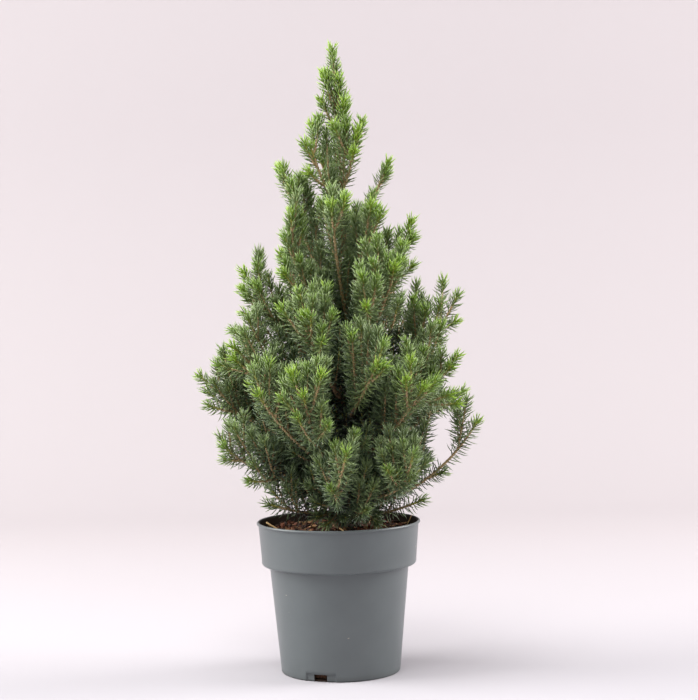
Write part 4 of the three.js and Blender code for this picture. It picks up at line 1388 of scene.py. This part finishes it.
peat = mottled("peat", colour(96, 62, 40), colour(42, 27, 17), 0.95, 700.0, 2.6, 0.8)
bed_points, bed_quads = soil_bed()
make_piece("soil_bed", bed_points, [bed_quads], peat, ["soil"])
CHIPS = {
    "dark_chips": (760, 1, 7.0, 0.35, colour(80, 56, 44), colour(42, 30, 24)),
    "red_chips": (380, 2, 9.5, 0.28, colour(132, 78, 53), colour(82, 49, 34)),
    "tan_chips": (110, 3, 11.0, 0.2, colour(196, 154, 108), colour(146, 108, 70)),
}
for name, (count, seed, longest, flat, light, dark) in CHIPS.items():
    points, quads = chips(count, seed, longest, flat)
    chip_bark = mottled(name, light, dark, 0.9, 600.0, 2.0, 0.3)
    make_piece(name, points, [quads], chip_bark, smooth=False)
straw = mottled("straw", colour(206, 176, 124), colour(168, 134, 88), 0.7, 500.0, 1.6, 0.1)
stalks = straws()
make_piece("dry_stalks", stalks[0], stalks[1:], straw)


# ---------------------------------------------------------------- studio
def backdrop():
    """A pale floor that curves up into the wall behind: a straight, a quarter circle and a straight. The
    floor is painted a touch lighter and bluer than the wall, as painted light.
    """
    a = np.linspace(0, math.pi / 2, 24)
    bend = 700.0
    y = np.concatenate([[-3000, 0], 1100 + bend * np.sin(a), [1100 + bend]])
    z = np.concatenate([[0, 0], bend - bend * np.cos(a), [4000]])
    x = np.linspace(-3500, 3500, 3)
    points = np.stack(np.broadcast_arrays(x[None, :], y[:, None], z[:, None]), -1).reshape(-1, 3)
    mesh = bpy.data.meshes.new("backdrop")
    mesh.from_pydata((points * MM).tolist(), [], grid_faces(len(y), 3, closed=False).tolist())
    mesh.polygons.foreach_set("use_smooth", np.ones(len(mesh.polygons), bool))
    sweep = bpy.data.objects.new("backdrop", mesh)
    # Painted light: the floor's colour is a touch lighter and bluer than the wall's, for the light that falls
    # on the floor, blended along the floor towards the wall.
    floor, wall = colour(182, 180, 185), colour(182, 176, 178)
    material, tree, shader = new_material("backdrop_paper", floor, 0.9, 0.2)
    place = tree.nodes.new("ShaderNodeTexCoord")
    axes = tree.nodes.new("ShaderNodeSeparateXYZ")
    back = tree.nodes.new("ShaderNodeMapRange")
    back.inputs["From Min"].default_value, back.inputs["From Max"].default_value = -0.3, 0.9
    tone = tree.nodes.new("ShaderNodeMix")
    tone.data_type = "RGBA"
    tone.inputs["A"].default_value, tone.inputs["B"].default_value = floor, wall
    tree.links.new(place.outputs["Object"], axes.inputs[0])
    tree.links.new(axes.outputs["Y"], back.inputs["Value"])
    tree.links.new(back.outputs["Result"], tone.inputs["Factor"])
    tree.links.new(tone.outputs["Result"], shader.inputs["Base Color"])
    mesh.materials.append(material)
    bpy.context.scene.collection.objects.link(sweep)


def stand(thing, right, upward, way, place):
    """Puts a lamp or the camera at a place, in metres, looking along a direction."""
    axes = np.stack([right, upward, -way], 1)
    thing.matrix_world = Matrix([[*row, p] for row, p in zip(axes, place)] + [[0, 0, 0, 1]])
    bpy.context.scene.collection.objects.link(thing)


def softbox(name, place, aim, size, power, tint):
    """A square area light at a place, in metres, turned to its aim."""
    light = bpy.data.lights.new(name, "AREA")
    light.shape = "RECTANGLE"
    light.size, light.size_y = size
    light.energy = power
    light.color = tint
    lamp = bpy.data.objects.new(name, light)
    way = unit(np.array(aim) - np.array(place))
    side = unit(np.cross(way, UP))
    stand(lamp, side, np.cross(side, way), way, place)


SOFTBOXES = {
    "left_softbox": ((-2.2, 0.0, 1.3), (0, 0, 0.3), (1.8, 1.8), 88, (1.0, 0.99, 0.98)),
    "right_softbox": ((2.2, 0.3, 1.2), (0, 0, 0.3), (1.4, 1.6), 73, (1.0, 0.98, 0.98)),
    "front_softbox": ((-0.5, -1.4, 2.7), (0, 0, 0.2), (1.6, 1.2), 34, (1.0, 0.99, 0.98)),
    "top_softbox": ((-0.3, -0.5, 2.4), (0, -0.4, 0), (1.7, 1.4), 31, (1.0, 0.99, 1.0)),
}
CAMERA = {
    "distance": 1.5659,
    "height": 0.3413,
    "pitch": -0.03022,
    "roll": -0.01802,
    "yaw": 0.00797,
    "lens": 88.06,
    "sensor": 36.0,
}


def set_camera():
    """The camera stands in front, turned by a small yaw, pitch and roll in radians."""
    pitch, yaw, roll = CAMERA["pitch"], CAMERA["yaw"], CAMERA["roll"]
    way = np.array([math.sin(yaw) * math.cos(pitch), math.cos(yaw) * math.cos(pitch), math.sin(pitch)])
    level = unit(np.cross(way, UP))
    over = np.cross(level, way)
    right = math.cos(roll) * level + math.sin(roll) * over
    upward = -math.sin(roll) * level + math.cos(roll) * over
    camera = bpy.data.cameras.new("camera")
    camera.lens, camera.sensor_width = CAMERA["lens"], CAMERA["sensor"]
    holder = bpy.data.objects.new("camera", camera)
    stand(holder, right, upward, way, (0.0, -CAMERA["distance"], CAMERA["height"]))
    bpy.context.scene.camera = holder


def set_world():
    """An even, pale light from all round."""
    world = bpy.data.worlds.new("studio")
    world.use_nodes = True
    background = world.node_tree.nodes["Background"]
    background.inputs["Color"].default_value = colour(250, 244, 247)
    background.inputs["Strength"].default_value = 0.34
    bpy.context.scene.world = world


backdrop()
set_world()
for name, settings in SOFTBOXES.items():
    softbox(name, *settings)
set_camera()
bpy.context.scene.view_settings.view_transform = "Standard"
